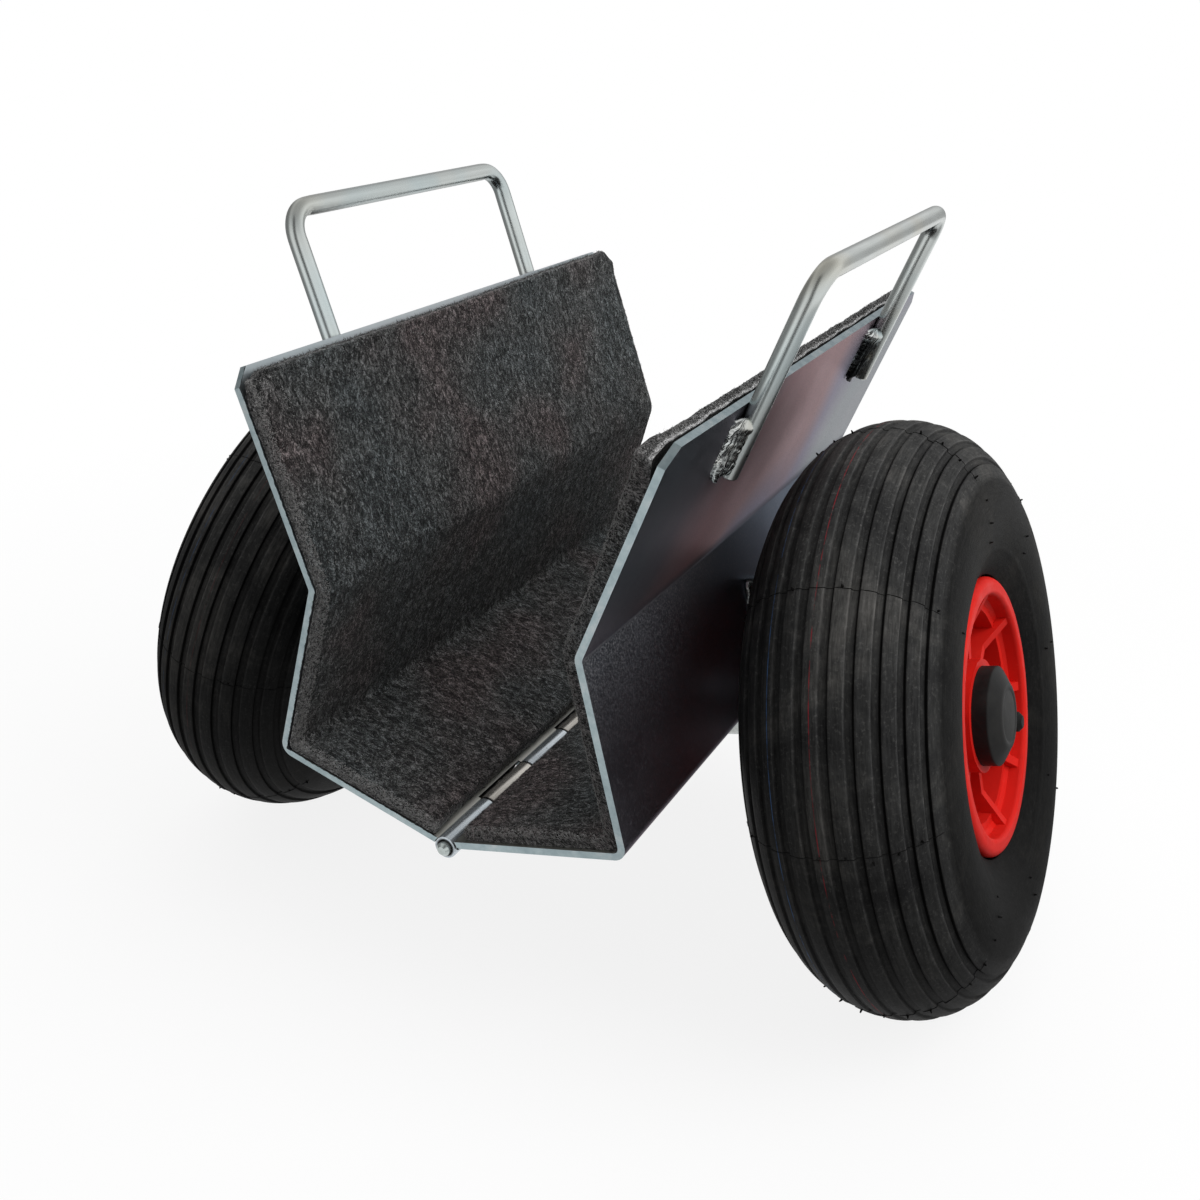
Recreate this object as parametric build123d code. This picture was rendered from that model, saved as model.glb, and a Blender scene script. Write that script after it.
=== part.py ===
from build123d import *
import os
from math import atan2, cos, degrees, hypot, radians, sin, sqrt

# Self-clamping panel dolly. Two folded steel jaws swing on one hinge pin. Each jaw is lined
# with felt, carries a bar handle and rolls on a pneumatic wheel. A panel's weight on the
# sloping floor flanges closes the jaws on it.
#
# Row frame: origin on the ground under the middle of the hinge, +X to the right, +Y along the
# hinge away from the viewer, +Z up.
# Leaf frame, in which one jaw is drawn: X outwards along the floor flange from the hinge axis,
# Y along the hinge, Z square to the flange. The row frame has the jaw opened by OPEN_ANGLE.
# Wheel frame: origin at the middle of the wheel, X outwards along the stub axle.
# All sizes are in millimetres and degrees.

# Side plates
PLATE_LENGTH = 300.0
SHEET = 3.0
FLANGE = 84.5             # hinge axis to the outer face of the lower wall
LOWER_WALL = 81.5
UPPER_WALL = 89.0
WAIST_BEND = 35.5
BEND_RADIUS = 2.5         # inside of each fold
CORNER_CUT = 7.0
OPEN_ANGLE = 15.0         # rise of the floor flange at rest

# Felt lining
FELT = 6.0
FELT_INSET = 1.5          # felt stays behind the free edges of the sheet
FELT_TO_HINGE = 8.5       # bare strip beside the knuckles, from the hinge axis
FELT_CREASE = 0.8

# Hinge
PIN_DIAMETER = 6.0
PIN_PROUD = 2.5
PIN_CHAMFER = 1.2
PIN_CLEARANCE = 0.05
KNUCKLE_DIAMETER = 10.0
KNUCKLE_COUNT = 9
KNUCKLE_GAP = 0.5
LEAF_CLEARANCE = 1.2      # from a flange edge to the other jaw's knuckles
HINGE_WELD = 3.5
HINGE_WELD_LENGTH = 22.0

# Handles
BAR = 8.0
HANDLE_SPAN = 164.0       # between the two legs, middle to middle
HANDLE_RISE = 53.5        # top edge of the plate to the middle of the bar, along the wall
HANDLE_LAP = 30.0         # length of leg against the wall
HANDLE_BEND = 12.0
HANDLE_WELD = 3.2
HANDLE_WELD_LENGTH = 25.0

# Stub axles
AXLE = 20.0
AXLE_INNER_END = 22.0     # from the hinge axis
AXLE_TIP = 37.5           # past the middle of the wheel
AXLE_CHAMFER = 1.5
AXLE_WELD = 4.0
AXLE_WELD_LENGTH = 46.0
GUSSET_THICKNESS = 5.0
GUSSET_HEIGHT = 58.0
GUSSET_REACH = 26.0
GUSSET_TOP = 4.0
GUSSET_WELD = 3.5
COLLAR_DIAMETER = 32.0
COLLAR_WIDTH = 5.0
WASHER_DIAMETER = 36.0
WASHER_THICKNESS = 2.5
WASHER_CLEARANCE = 0.1
THRUST_GAP = 0.3
CIRCLIP_DIAMETER = 27.0
CIRCLIP_THICKNESS = 1.5
CIRCLIP_OPENING = 8.0
GROOVE_DEPTH = 0.6
FIT_GAP = 0.05
LENGTH_MATCH = 0.01       # two lengths this close are the same

# Wheels
WHEEL_OFFSET = 68.0       # outer face of the lower wall to the middle of the wheel
TYRE_DIAMETER = 260.0
TYRE_WIDTH = 85.0
TYRE_WALL = 6.0
TYRE_FOOT = 5.8           # the full round of the tyre's section would end this far below the bead seat
BEAD_WIDTH = 9.0
BEAD_TOE = 6.0
SIDE_RING = 1.2           # raised ring on the sidewall
SIDE_RING_ANGLE = 112.0   # degrees round the tyre's section from the crown
TREAD_PITCH = 13.0        # degrees round the tyre's section
TREAD_GROOVES = 10
TREAD_GROOVE_WIDTH = 3.0
TREAD_GROOVE_DEPTH = 1.2
TUBE_WALL = 2.0
TUBE_GAP = 0.4
RIM_SEAT = 101.6          # bead seat diameter
RIM_WIDTH = 56.0          # between the flanges
RIM_FLANGE = 120.0
RIM_LIP = 8.0
RIM_WALL = 4.3
RIM_DROP = 1.6
RIM_SHOULDER = 8.0        # bead seat beside the drop centre
LIP_BORE = 104.0
LIP_DEPTH = 6.6
SEAT_GAP = 0.2
HUB_LENGTH = 60.0
HUB_DIAMETER = 49.0
HUB_RECESS = 4.0
WEB = 8.0
RIBS = 9
RIB_THICKNESS = 4.0
RIB_STEP = 74.0           # diameter where a rib starts to rise
RIB_DROP = 5.0            # rib below the end of the hub
FIRST_RIB = 20.0
BUSH_DIAMETER = 26.0
BUSH_LENGTH = 20.0
BUSH_FLANGE = 32.0
BUSH_FLANGE_THICKNESS = 2.0
BUSH_CLEARANCE = 0.05
CAP_DIAMETER = 43.0
CAP_FACE = 24.0
CAP_PROUD = 11.0          # past the end of the hub
CAP_BEVEL = 5.0
CAP_WALL = 2.0
CAP_FIT = 0.1
VALVE_ANGLE = 120.0
VALVE_STEM = 6.0
VALVE_BEND = 7.0
VALVE_REACH = 66.0        # diameter of the circle that the valve's end stands on
VALVE_DEPTH = 14.0        # stem leaves the barrel this far from the middle of the wheel
VALVE_TIP = 31.0
VALVE_HOLE_GAP = 0.3
VALVE_CAP_DIAMETER = 9.0
VALVE_CAP_LENGTH = 12.0
VALVE_CAP_OVERLAP = 4.0

# Values that follow from the sizes above
KNUCKLE_RADIUS = KNUCKLE_DIAMETER / 2
KNUCKLE_PITCH = PLATE_LENGTH / KNUCKLE_COUNT
AXLE_RADIUS = AXLE / 2
WHEEL_MIDDLE = FLANGE + WHEEL_OFFSET
HUB_END = HUB_LENGTH / 2
BUSH_SEAT = HUB_END - HUB_RECESS
THRUST_FACE = BUSH_SEAT + BUSH_FLANGE_THICKNESS
WASHER_INNER_FACE = THRUST_FACE + THRUST_GAP
WASHER_OUTER_FACE = WASHER_INNER_FACE + WASHER_THICKNESS
SEAT_RADIUS = RIM_SEAT / 2
HALF_WIDTH = TYRE_WIDTH / 2
HALF_DEPTH = (TYRE_DIAMETER / 2 - SEAT_RADIUS + TYRE_FOOT) / 2
SECTION_CENTRE = TYRE_DIAMETER / 2 - HALF_DEPTH
BARREL_BORE = SEAT_RADIUS - RIM_WALL
RIM_HALF = RIM_WIDTH / 2
BEAD_HEEL = RIM_HALF - SEAT_GAP
LIP_FACE = RIM_HALF + RIM_LIP
RISE = sin(radians(OPEN_ANGLE))
LEVEL = cos(radians(OPEN_ANGLE))
WHEEL_HEIGHT = SECTION_CENTRE * LEVEL + hypot(HALF_DEPTH * LEVEL, HALF_WIDTH * RISE)
HINGE_HEIGHT = WHEEL_HEIGHT - WHEEL_MIDDLE * RISE + AXLE_RADIUS * LEVEL
WALL_UP = Vector(sin(radians(WAIST_BEND)), 0, cos(radians(WAIST_BEND)))
WALL_OUT = Vector(cos(radians(WAIST_BEND)), 0, -sin(radians(WAIST_BEND)))
WAIST = Vector(FLANGE, 0, LOWER_WALL)
TOP = WAIST + WALL_UP * UPPER_WALL


def shifted_path(points, distance):
    """A path of (x, z) points moved to its left by a distance, with mitred corners."""
    directions = [(Vector(*b) - Vector(*a)).normalized() for a, b in zip(points, points[1:])]
    normals = [Vector(-d.Y, d.X) for d in directions]
    moved = []
    for index, point in enumerate(points):
        before = normals[max(index - 1, 0)]
        after = normals[min(index, len(normals) - 1)]
        mitre = (before + after) * (distance / (1 + before.dot(after)))
        moved.append(tuple(Vector(*point) + mitre)[:2])
    return moved


def folded_strip(points, radii, thickness, length):
    """A strip that follows a folded path: the path's own side, the side a thickness to its left, and length along Y."""
    inner_points = shifted_path(points, thickness)
    inner_radii = []
    for a, b, c, radius in zip(points, points[1:], points[2:], radii):
        turn = (Vector(*b) - Vector(*a)).cross(Vector(*c) - Vector(*b)).Z
        inner_radii.append(max(radius - thickness, FELT_CREASE) if turn > 0 else radius + thickness)
    outer = FilletPolyline(*points, radius=radii)
    inner = FilletPolyline(*inner_points, radius=inner_radii)
    edges = outer.edges() + inner.edges()
    edges += [Line(points[0], inner_points[0]), Line(points[-1], inner_points[-1])]
    face = Plane.XZ * make_face(edges)
    return extrude(face, amount=length / 2, both=True)


def top_corner_edges(strip, thickness):
    """The short edges at the two upper corners of a folded strip."""
    short = strip.edges().filter_by(lambda edge: abs(edge.length - thickness) < LENGTH_MATCH)
    return short.sort_by(lambda edge: edge.center().dot(WALL_UP))[-2:]


def plate_path(inset=0.0, start=0.0):
    """The outer face of a folded plate, from the hinge to its top edge."""
    end = TOP - WALL_UP * inset
    return [(start, 0), (FLANGE, 0), (FLANGE, LOWER_WALL), (end.X, end.Z)]


def knuckle_middles(first):
    """Places along the hinge of every second knuckle, counted from the front."""
    return [(index + 0.5) * KNUCKLE_PITCH - PLATE_LENGTH / 2 for index in range(first, KNUCKLE_COUNT, 2)]


def along_hinge(radius, length, middle=0.0):
    """A cylinder on the hinge axis."""
    return Pos(0, middle, 0) * Rot(90, 0, 0) * Cylinder(radius, length)


def along_axle(radius, start, end):
    """A cylinder on the X axis between two places."""
    return Pos((start + end) / 2, 0, 0) * Rot(0, 90, 0) * Cylinder(radius, end - start)


def side_plate(first_knuckle):
    """Folded sheet, cut back round the other jaw's knuckles and hollowed to seat its own."""
    radii = [BEND_RADIUS + SHEET, BEND_RADIUS]
    plate = folded_strip(plate_path(start=KNUCKLE_RADIUS / 2), radii, SHEET, PLATE_LENGTH)
    plate = chamfer(top_corner_edges(plate, SHEET), CORNER_CUT)
    plate -= along_hinge(KNUCKLE_RADIUS, PLATE_LENGTH + SHEET)
    for middle in knuckle_middles(1 - first_knuckle):
        plate -= along_hinge(KNUCKLE_RADIUS + LEAF_CLEARANCE, KNUCKLE_PITCH + KNUCKLE_GAP, middle)
    return plate


def felt_lining():
    """Thick felt glued to the inner face of the folded sheet."""
    outer = plate_path(FELT_INSET, FELT_TO_HINGE)
    points = shifted_path(outer, SHEET)
    radii = [BEND_RADIUS, BEND_RADIUS + SHEET]
    felt = folded_strip(points, radii, FELT, PLATE_LENGTH - 2 * FELT_INSET)
    return chamfer(top_corner_edges(felt, FELT), CORNER_CUT)


def hinge_knuckles(first_knuckle):
    """Tubes on the hinge axis that belong to one jaw."""
    bore = PIN_DIAMETER / 2 + PIN_CLEARANCE
    length = KNUCKLE_PITCH - KNUCKLE_GAP
    return [
        along_hinge(KNUCKLE_RADIUS, length, middle) - along_hinge(bore, length, middle)
        for middle in knuckle_middles(first_knuckle)
    ]


def hinge_welds(first_knuckle):
    """Fillet beads under the flange, between its edge and each knuckle."""
    corner = [(0, 0), (KNUCKLE_RADIUS + HINGE_WELD, 0), (KNUCKLE_RADIUS, -HINGE_WELD)]
    bead = extrude(Plane.XZ * make_face(Polyline(*corner, close=True)), amount=HINGE_WELD_LENGTH / 2, both=True)
    bead -= along_hinge(KNUCKLE_RADIUS, HINGE_WELD_LENGTH)
    return [Pos(0, middle, 0) * bead for middle in knuckle_middles(first_knuckle)]


def hinge_pin():
    """Plain pin that stands a little proud of the end knuckles."""
    pin = along_hinge(PIN_DIAMETER / 2, PLATE_LENGTH + 2 * PIN_PROUD)
    return chamfer(pin.edges().filter_by(GeomType.CIRCLE), PIN_CHAMFER)


def handle():
    """Round bar bent to a U, with both legs flat against the outside of the upper wall."""
    foot = TOP - WALL_UP * HANDLE_LAP + WALL_OUT * (BAR / 2)
    head = TOP + WALL_UP * HANDLE_RISE + WALL_OUT * (BAR / 2)
    side = Vector(0, HANDLE_SPAN / 2, 0)
    path = FilletPolyline(foot - side, head - side, head + side, foot + side, radius=HANDLE_BEND)
    return sweep(Plane(origin=foot - side, z_dir=WALL_UP) * Circle(BAR / 2), path=path)


def handle_welds():
    """Fillet beads along both sides of each handle leg."""
    radius = BAR / 2
    start = TOP - WALL_UP * HANDLE_LAP
    toe = radius + HANDLE_WELD
    beads = []
    for leg in (-HANDLE_SPAN / 2, HANDLE_SPAN / 2):
        bar = Plane(origin=start + WALL_OUT * radius + Vector(0, leg, 0), z_dir=WALL_UP) * Cylinder(
            radius, 4 * HANDLE_WELD_LENGTH
        )
        for side in (-1, 1):
            plane = Plane(origin=start + Vector(0, leg, 0), x_dir=(0, side, 0), z_dir=WALL_UP * side)
            outwards = -1 if plane.y_dir.dot(WALL_OUT) < 0 else 1
            outline = [(0, 0), (toe, 0), (radius, outwards * radius)]
            face = plane * make_face(Polyline(*outline, close=True))
            beads.append(extrude(face, amount=HANDLE_WELD_LENGTH, dir=WALL_UP) - bar)
    return beads


def stub_axle():
    """Round bar welded under the floor flange, with a circlip groove near its tip."""
    axle = along_axle(AXLE_RADIUS, AXLE_INNER_END - WHEEL_MIDDLE, AXLE_TIP)
    axle = chamfer(axle.edges().filter_by(GeomType.CIRCLE), AXLE_CHAMFER)
    groove_start = WASHER_OUTER_FACE + FIT_GAP
    groove_end = groove_start + CIRCLIP_THICKNESS + 2 * FIT_GAP
    ring = along_axle(AXLE_RADIUS + GROOVE_DEPTH, groove_start, groove_end)
    ring -= along_axle(AXLE_RADIUS - GROOVE_DEPTH, groove_start, groove_end)
    return axle - ring


def axle_gusset():
    """Upright plate between the lower wall and the top of the axle, clear of the fold."""
    fold = SHEET + BEND_RADIUS
    outline = [
        (FLANGE, fold), (FLANGE, GUSSET_HEIGHT), (FLANGE + GUSSET_TOP, GUSSET_HEIGHT),
        (FLANGE + GUSSET_REACH, fold), (FLANGE + GUSSET_REACH, 0), (FLANGE + fold, 0),
    ]
    face = Plane.XZ * make_face(Polyline(*outline, close=True))
    return extrude(face, amount=GUSSET_THICKNESS / 2, both=True)


def axle_welds():
    """Beads along the axle under the flange, up both sides of the gusset and along its foot."""
    axle = Pos(0, 0, -AXLE_RADIUS) * along_axle(AXLE_RADIUS, 0, WHEEL_MIDDLE)
    half = GUSSET_THICKNESS / 2
    fold = SHEET + BEND_RADIUS
    beads = []
    for side in (-1, 1):
        flank = [(0, 0), (side * (AXLE_RADIUS + AXLE_WELD), 0), (side * AXLE_RADIUS, -AXLE_RADIUS)]
        under = Plane.YZ.offset(AXLE_INNER_END + AXLE_WELD) * make_face(Polyline(*flank, close=True))
        beads.append(extrude(under, amount=AXLE_WELD_LENGTH) - axle)
        throat = [
            (FLANGE, side * half), (FLANGE, side * (half + GUSSET_WELD)), (FLANGE + GUSSET_TOP, side * half),
        ]
        upright = Plane.XY.offset(2 * fold) * make_face(Polyline(*throat, close=True))
        beads.append(extrude(upright, amount=GUSSET_HEIGHT - 2 * fold))
        foot = [(side * half, GUSSET_WELD), (side * half, -GUSSET_WELD), (side * (half + GUSSET_WELD), -GUSSET_WELD)]
        lower = Plane.YZ.offset(FLANGE + fold + GUSSET_WELD) * make_face(Polyline(*foot, close=True))
        beads.append(extrude(lower, amount=GUSSET_REACH - fold - GUSSET_WELD) - axle)
    return beads


def axle_collar():
    """Ring on the axle that stops the wheel's inner end."""
    start = -WASHER_OUTER_FACE - COLLAR_WIDTH
    ring = along_axle(COLLAR_DIAMETER / 2, start, -WASHER_OUTER_FACE)
    return ring - along_axle(AXLE_RADIUS, start, -WASHER_OUTER_FACE)


def axle_washers():
    """Thrust washers at both ends of the hub."""
    washer = along_axle(WASHER_DIAMETER / 2, WASHER_INNER_FACE, WASHER_OUTER_FACE)
    washer -= along_axle(AXLE_RADIUS + WASHER_CLEARANCE, WASHER_INNER_FACE, WASHER_OUTER_FACE)
    return [washer, mirror(washer, about=Plane.YZ)]


def axle_circlip():
    """Open spring ring in the axle's groove."""
    start = WASHER_OUTER_FACE + 2 * FIT_GAP
    ring = along_axle(CIRCLIP_DIAMETER / 2, start, start + CIRCLIP_THICKNESS)
    ring -= along_axle(AXLE_RADIUS - GROOVE_DEPTH + FIT_GAP, start, start + CIRCLIP_THICKNESS)
    opening = Pos(start, 0, CIRCLIP_DIAMETER / 2) * Box(4 * CIRCLIP_THICKNESS, CIRCLIP_OPENING, CIRCLIP_DIAMETER / 2)
    return ring - opening


def turned(section):
    """A section drawn as (along the axle, radius) and turned round the axle."""
    return revolve(Plane.XZ * section, axis=Axis.X)


def block(start, end, inner, outer):
    """A rectangle between two places on the axle and two radii."""
    return Pos((start + end) / 2, (inner + outer) / 2) * Rectangle(abs(end - start), outer - inner)


def both_ends(section):
    """A section and its mirror image across the middle of the wheel."""
    return section + mirror(section, about=Plane.YZ)


def rim_lip(gap=0.0):
    """The rounded flange at one end of the rim, or the space that it needs."""
    flange = RIM_FLANGE / 2
    outline = [
        (RIM_HALF - RIM_WALL / 2, BARREL_BORE), (LIP_FACE - LIP_DEPTH, LIP_BORE / 2), (LIP_FACE, LIP_BORE / 2),
        (LIP_FACE, flange), (RIM_HALF, flange), (RIM_HALF, SEAT_RADIUS), (RIM_HALF - RIM_WALL / 2, SEAT_RADIUS),
    ]
    lip = make_face(Polyline(*outline, close=True))
    crest = lip.vertices().sort_by(Axis.Y)[-2:]
    lip = fillet(crest, RIM_LIP * 0.45)
    bore_edge = lip.vertices().sort_by(lambda v: v.X - abs(v.Y - LIP_BORE / 2))[-1]
    lip = fillet(bore_edge, RIM_LIP * 0.25)
    return offset(lip, gap) if gap else lip


def tyre_round(inset=0.0):
    """The tyre's full round section, or one that lies inside it."""
    return Pos(0, SECTION_CENTRE) * Ellipse(HALF_WIDTH - inset, HALF_DEPTH - inset)


def on_tyre(angle):
    """A place on the outside of the tyre's section, an angle from the crown, with its Y axis pointing outwards."""
    across = sin(radians(angle))
    upwards = cos(radians(angle))
    lean = degrees(atan2(across / HALF_WIDTH, upwards / HALF_DEPTH))
    return Pos(HALF_WIDTH * across, SECTION_CENTRE + HALF_DEPTH * upwards) * Rot(0, 0, -lean)


def wall_inside(place):
    """Radius at which the inside of the sidewall passes a place along the axle."""
    return SECTION_CENTRE - (HALF_DEPTH - TYRE_WALL) * sqrt(1 - (place / (HALF_WIDTH - TYRE_WALL)) ** 2)


def tyre_bead(gap=0.0):
    """The wedge of rubber on one bead seat, up to the inside of the sidewall, or the space that it needs."""
    toe = BEAD_HEEL - BEAD_WIDTH
    foot = SEAT_RADIUS + SEAT_GAP
    outline = [(toe, foot), (BEAD_HEEL, foot), (BEAD_HEEL, wall_inside(BEAD_HEEL)), (toe, foot + BEAD_TOE)]
    bead = make_face(Polyline(*outline, close=True))
    return offset(bead, gap) if gap else bead


def tyre():
    """Carcass of round section with beads on the rim's seats, a ring on each sidewall and grooves round the tread."""
    section = tyre_round() - tyre_round(TYRE_WALL)
    section -= block(-BEAD_HEEL, BEAD_HEEL, 0, wall_inside(BEAD_HEEL))
    section -= block(-LIP_FACE, LIP_FACE, 0, SEAT_RADIUS)
    section -= both_ends(rim_lip(SEAT_GAP))
    section += both_ends(tyre_bead())
    section += both_ends(on_tyre(SIDE_RING_ANGLE) * Circle(SIDE_RING))
    for index in range(TREAD_GROOVES):
        angle = (index - (TREAD_GROOVES - 1) / 2) * TREAD_PITCH
        section -= on_tyre(angle) * Rectangle(TREAD_GROOVE_WIDTH, 2 * TREAD_GROOVE_DEPTH)
    return turned(section)


def inner_tube():
    """Thin tube that fills the tyre above its beads."""
    room = tyre_round(TYRE_WALL + TUBE_GAP) - both_ends(tyre_bead(TUBE_GAP))
    room -= block(-LIP_FACE, LIP_FACE, 0, SEAT_RADIUS + TUBE_GAP)
    return turned(room - offset(room, -TUBE_WALL))


def rib_face():
    """Outline of one rib on the outer side: level near the hub, then rising to the lip."""
    hub = HUB_DIAMETER / 2 - RIM_WALL / 2
    level = HUB_END - RIB_DROP
    outline = [
        (0, hub), (level, hub), (level, RIB_STEP / 2), (LIP_FACE - RIM_LIP / 4, LIP_BORE / 2 + RIM_WALL / 4),
        (LIP_FACE - LIP_DEPTH, LIP_BORE / 2 + RIM_WALL / 4), (RIM_HALF - RIM_WALL / 2, BARREL_BORE + RIM_WALL / 4),
        (0, BARREL_BORE + RIM_WALL / 4),
    ]
    return Plane.XZ * make_face(Polyline(*outline, close=True))


def rim():
    """Moulded rim: hub, web, drop-centre barrel with lips, and ribs on both sides."""
    bore = BUSH_DIAMETER / 2
    section = block(-HUB_END, HUB_END, bore, HUB_DIAMETER / 2)
    section -= both_ends(block(BUSH_SEAT, HUB_END, 0, CAP_DIAMETER / 2 + CAP_FIT))
    section += block(-WEB / 2, WEB / 2, HUB_DIAMETER / 2 - RIM_WALL / 2, BARREL_BORE + RIM_WALL / 2)
    section += block(-RIM_HALF, RIM_HALF, BARREL_BORE, SEAT_RADIUS)
    drop = RIM_HALF - BEAD_WIDTH - RIM_SHOULDER
    section -= block(-drop, drop, SEAT_RADIUS - RIM_DROP, SEAT_RADIUS + RIM_DROP)
    section += both_ends(rim_lip())
    body = turned(section)
    outer_rib = extrude(rib_face(), amount=RIB_THICKNESS / 2, both=True)
    rib = outer_rib + mirror(outer_rib, about=Plane.YZ)
    for index in range(RIBS):
        body += Rot(-(FIRST_RIB + index * 360 / RIBS), 0, 0) * rib
    hole = Pos(VALVE_DEPTH, 0, SEAT_RADIUS) * Cylinder(VALVE_STEM / 2 + VALVE_HOLE_GAP, 3 * RIM_WALL)
    return body - Rot(-VALVE_ANGLE, 0, 0) * hole


def hub_bushes():
    """Flanged bearing bushes pressed into both ends of the hub."""
    bush = along_axle(BUSH_DIAMETER / 2, BUSH_SEAT - BUSH_LENGTH, BUSH_SEAT)
    bush += along_axle(BUSH_FLANGE / 2, BUSH_SEAT, THRUST_FACE)
    bush -= along_axle(AXLE_RADIUS + BUSH_CLEARANCE, BUSH_SEAT - BUSH_LENGTH, THRUST_FACE)
    return [bush, mirror(bush, about=Plane.YZ)]


def hub_cap():
    """Push-in cap with a wide bevel that covers the axle's tip."""
    face = HUB_END + CAP_PROUD
    radius = CAP_DIAMETER / 2
    outline = [
        (BUSH_SEAT, radius - CAP_WALL), (BUSH_SEAT, radius), (face - CAP_BEVEL, radius), (face, CAP_FACE / 2),
        (face, 0), (face - CAP_WALL, 0), (face - CAP_WALL, CAP_FACE / 2), (face - CAP_BEVEL, radius - CAP_WALL),
    ]
    return turned(make_face(Polyline(*outline, close=True)))


def valve_path(end):
    """Route of the valve: out of the tube, through the barrel, then bent outwards."""
    top = SEAT_RADIUS - RIM_DROP
    reach = VALVE_REACH / 2
    return FilletPolyline((VALVE_DEPTH, 0, top), (VALVE_DEPTH, 0, reach), (end, 0, reach), radius=VALVE_BEND)


def valve_stem():
    """Bent stem in the pocket between two ribs."""
    path = valve_path(VALVE_TIP)
    stem = sweep(Plane(origin=path @ 0, z_dir=path % 0) * Circle(VALVE_STEM / 2), path=path)
    return Rot(-VALVE_ANGLE, 0, 0) * stem


def valve_cap():
    """Closed cap on the end of the stem."""
    start = VALVE_TIP - VALVE_CAP_OVERLAP
    cap = along_axle(VALVE_CAP_DIAMETER / 2, start, start + VALVE_CAP_LENGTH)
    cap = chamfer(cap.edges().filter_by(GeomType.CIRCLE).sort_by(Axis.X)[-1], VALVE_CAP_DIAMETER / 5)
    cap -= along_axle(VALVE_STEM / 2 + FIT_GAP, start, VALVE_TIP + FIT_GAP)
    return Rot(-VALVE_ANGLE, 0, 0) * Pos(0, 0, VALVE_REACH / 2) * cap


def jaw_pieces(first_knuckle):
    """Pieces of one jaw that are drawn in the leaf frame."""
    return {
        "side_plate": side_plate(first_knuckle),
        "felt_lining": felt_lining(),
        "hinge_knuckles": hinge_knuckles(first_knuckle),
        "hinge_welds": hinge_welds(first_knuckle),
        "handle": handle(),
        "handle_welds": handle_welds(),
        "axle_gusset": axle_gusset(),
        "axle_welds": axle_welds(),
    }


def axle_pieces():
    """Pieces of one stub axle and its wheel, drawn in the wheel frame."""
    return {
        "stub_axle": stub_axle(),
        "axle_collar": axle_collar(),
        "axle_washers": axle_washers(),
        "axle_circlip": axle_circlip(),
        "hub_bushes": hub_bushes(),
        "rim": rim(),
        "tyre": tyre(),
        "inner_tube": inner_tube(),
        "valve_stem": valve_stem(),
        "valve_cap": valve_cap(),
        "hub_cap": hub_cap(),
    }


def as_node(shape):
    """One solid, or a group of separate solids."""
    return Compound(children=list(shape)) if isinstance(shape, list) else shape


def build():
    """Every node of the dolly, in the row frame."""
    at_rest = Pos(0, 0, HINGE_HEIGHT) * Rot(0, -OPEN_ANGLE, 0)
    on_axle = Pos(WHEEL_MIDDLE, 0, -AXLE_RADIUS)
    wheel = axle_pieces()
    nodes = {"hinge_pin": Pos(0, 0, HINGE_HEIGHT) * hinge_pin()}
    for side, first_knuckle in (("left", 0), ("right", 1)):
        leaf = {name: as_node(shape) for name, shape in jaw_pieces(first_knuckle).items()}
        leaf.update({name: on_axle * as_node(shape) for name, shape in wheel.items()})
        for name, shape in leaf.items():
            placed = at_rest * shape
            nodes[f"{side}_{name}"] = mirror(placed, about=Plane.YZ) if side == "left" else placed
    return nodes


os.makedirs("parts", exist_ok=True)
for node, solid in build().items():
    export_step(solid, f"parts/{node}.step")
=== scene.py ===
import math

import bpy
import numpy as np
from mathutils import Matrix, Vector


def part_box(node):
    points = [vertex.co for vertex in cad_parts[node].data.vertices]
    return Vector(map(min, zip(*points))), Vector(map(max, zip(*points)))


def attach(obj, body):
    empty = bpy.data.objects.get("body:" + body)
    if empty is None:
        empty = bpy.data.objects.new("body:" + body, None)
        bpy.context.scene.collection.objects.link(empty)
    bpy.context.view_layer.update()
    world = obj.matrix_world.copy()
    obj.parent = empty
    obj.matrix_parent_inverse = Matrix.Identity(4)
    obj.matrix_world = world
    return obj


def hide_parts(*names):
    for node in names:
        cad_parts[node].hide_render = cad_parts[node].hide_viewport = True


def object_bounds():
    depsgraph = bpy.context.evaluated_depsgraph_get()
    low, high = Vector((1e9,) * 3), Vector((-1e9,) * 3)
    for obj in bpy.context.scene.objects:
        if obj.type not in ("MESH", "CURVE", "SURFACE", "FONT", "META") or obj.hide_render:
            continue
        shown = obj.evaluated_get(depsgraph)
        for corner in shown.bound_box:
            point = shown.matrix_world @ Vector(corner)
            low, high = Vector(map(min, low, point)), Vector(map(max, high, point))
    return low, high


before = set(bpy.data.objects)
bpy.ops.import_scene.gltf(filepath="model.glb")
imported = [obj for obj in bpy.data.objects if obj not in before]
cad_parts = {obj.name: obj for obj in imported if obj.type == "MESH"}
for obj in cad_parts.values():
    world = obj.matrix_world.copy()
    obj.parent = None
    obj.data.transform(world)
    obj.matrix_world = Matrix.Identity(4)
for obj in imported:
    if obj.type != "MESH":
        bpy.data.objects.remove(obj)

CAD_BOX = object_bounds()
MM = 0.001
# Name, direction, first knuckle, seed, and how many vent stubs are left and how long they are
SIDES = (("left", -1.0, 0, 100, 0.25, (0.3, 0.7)), ("right", 1.0, 1, 200, 0.7, (0.5, 1.5)))

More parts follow.
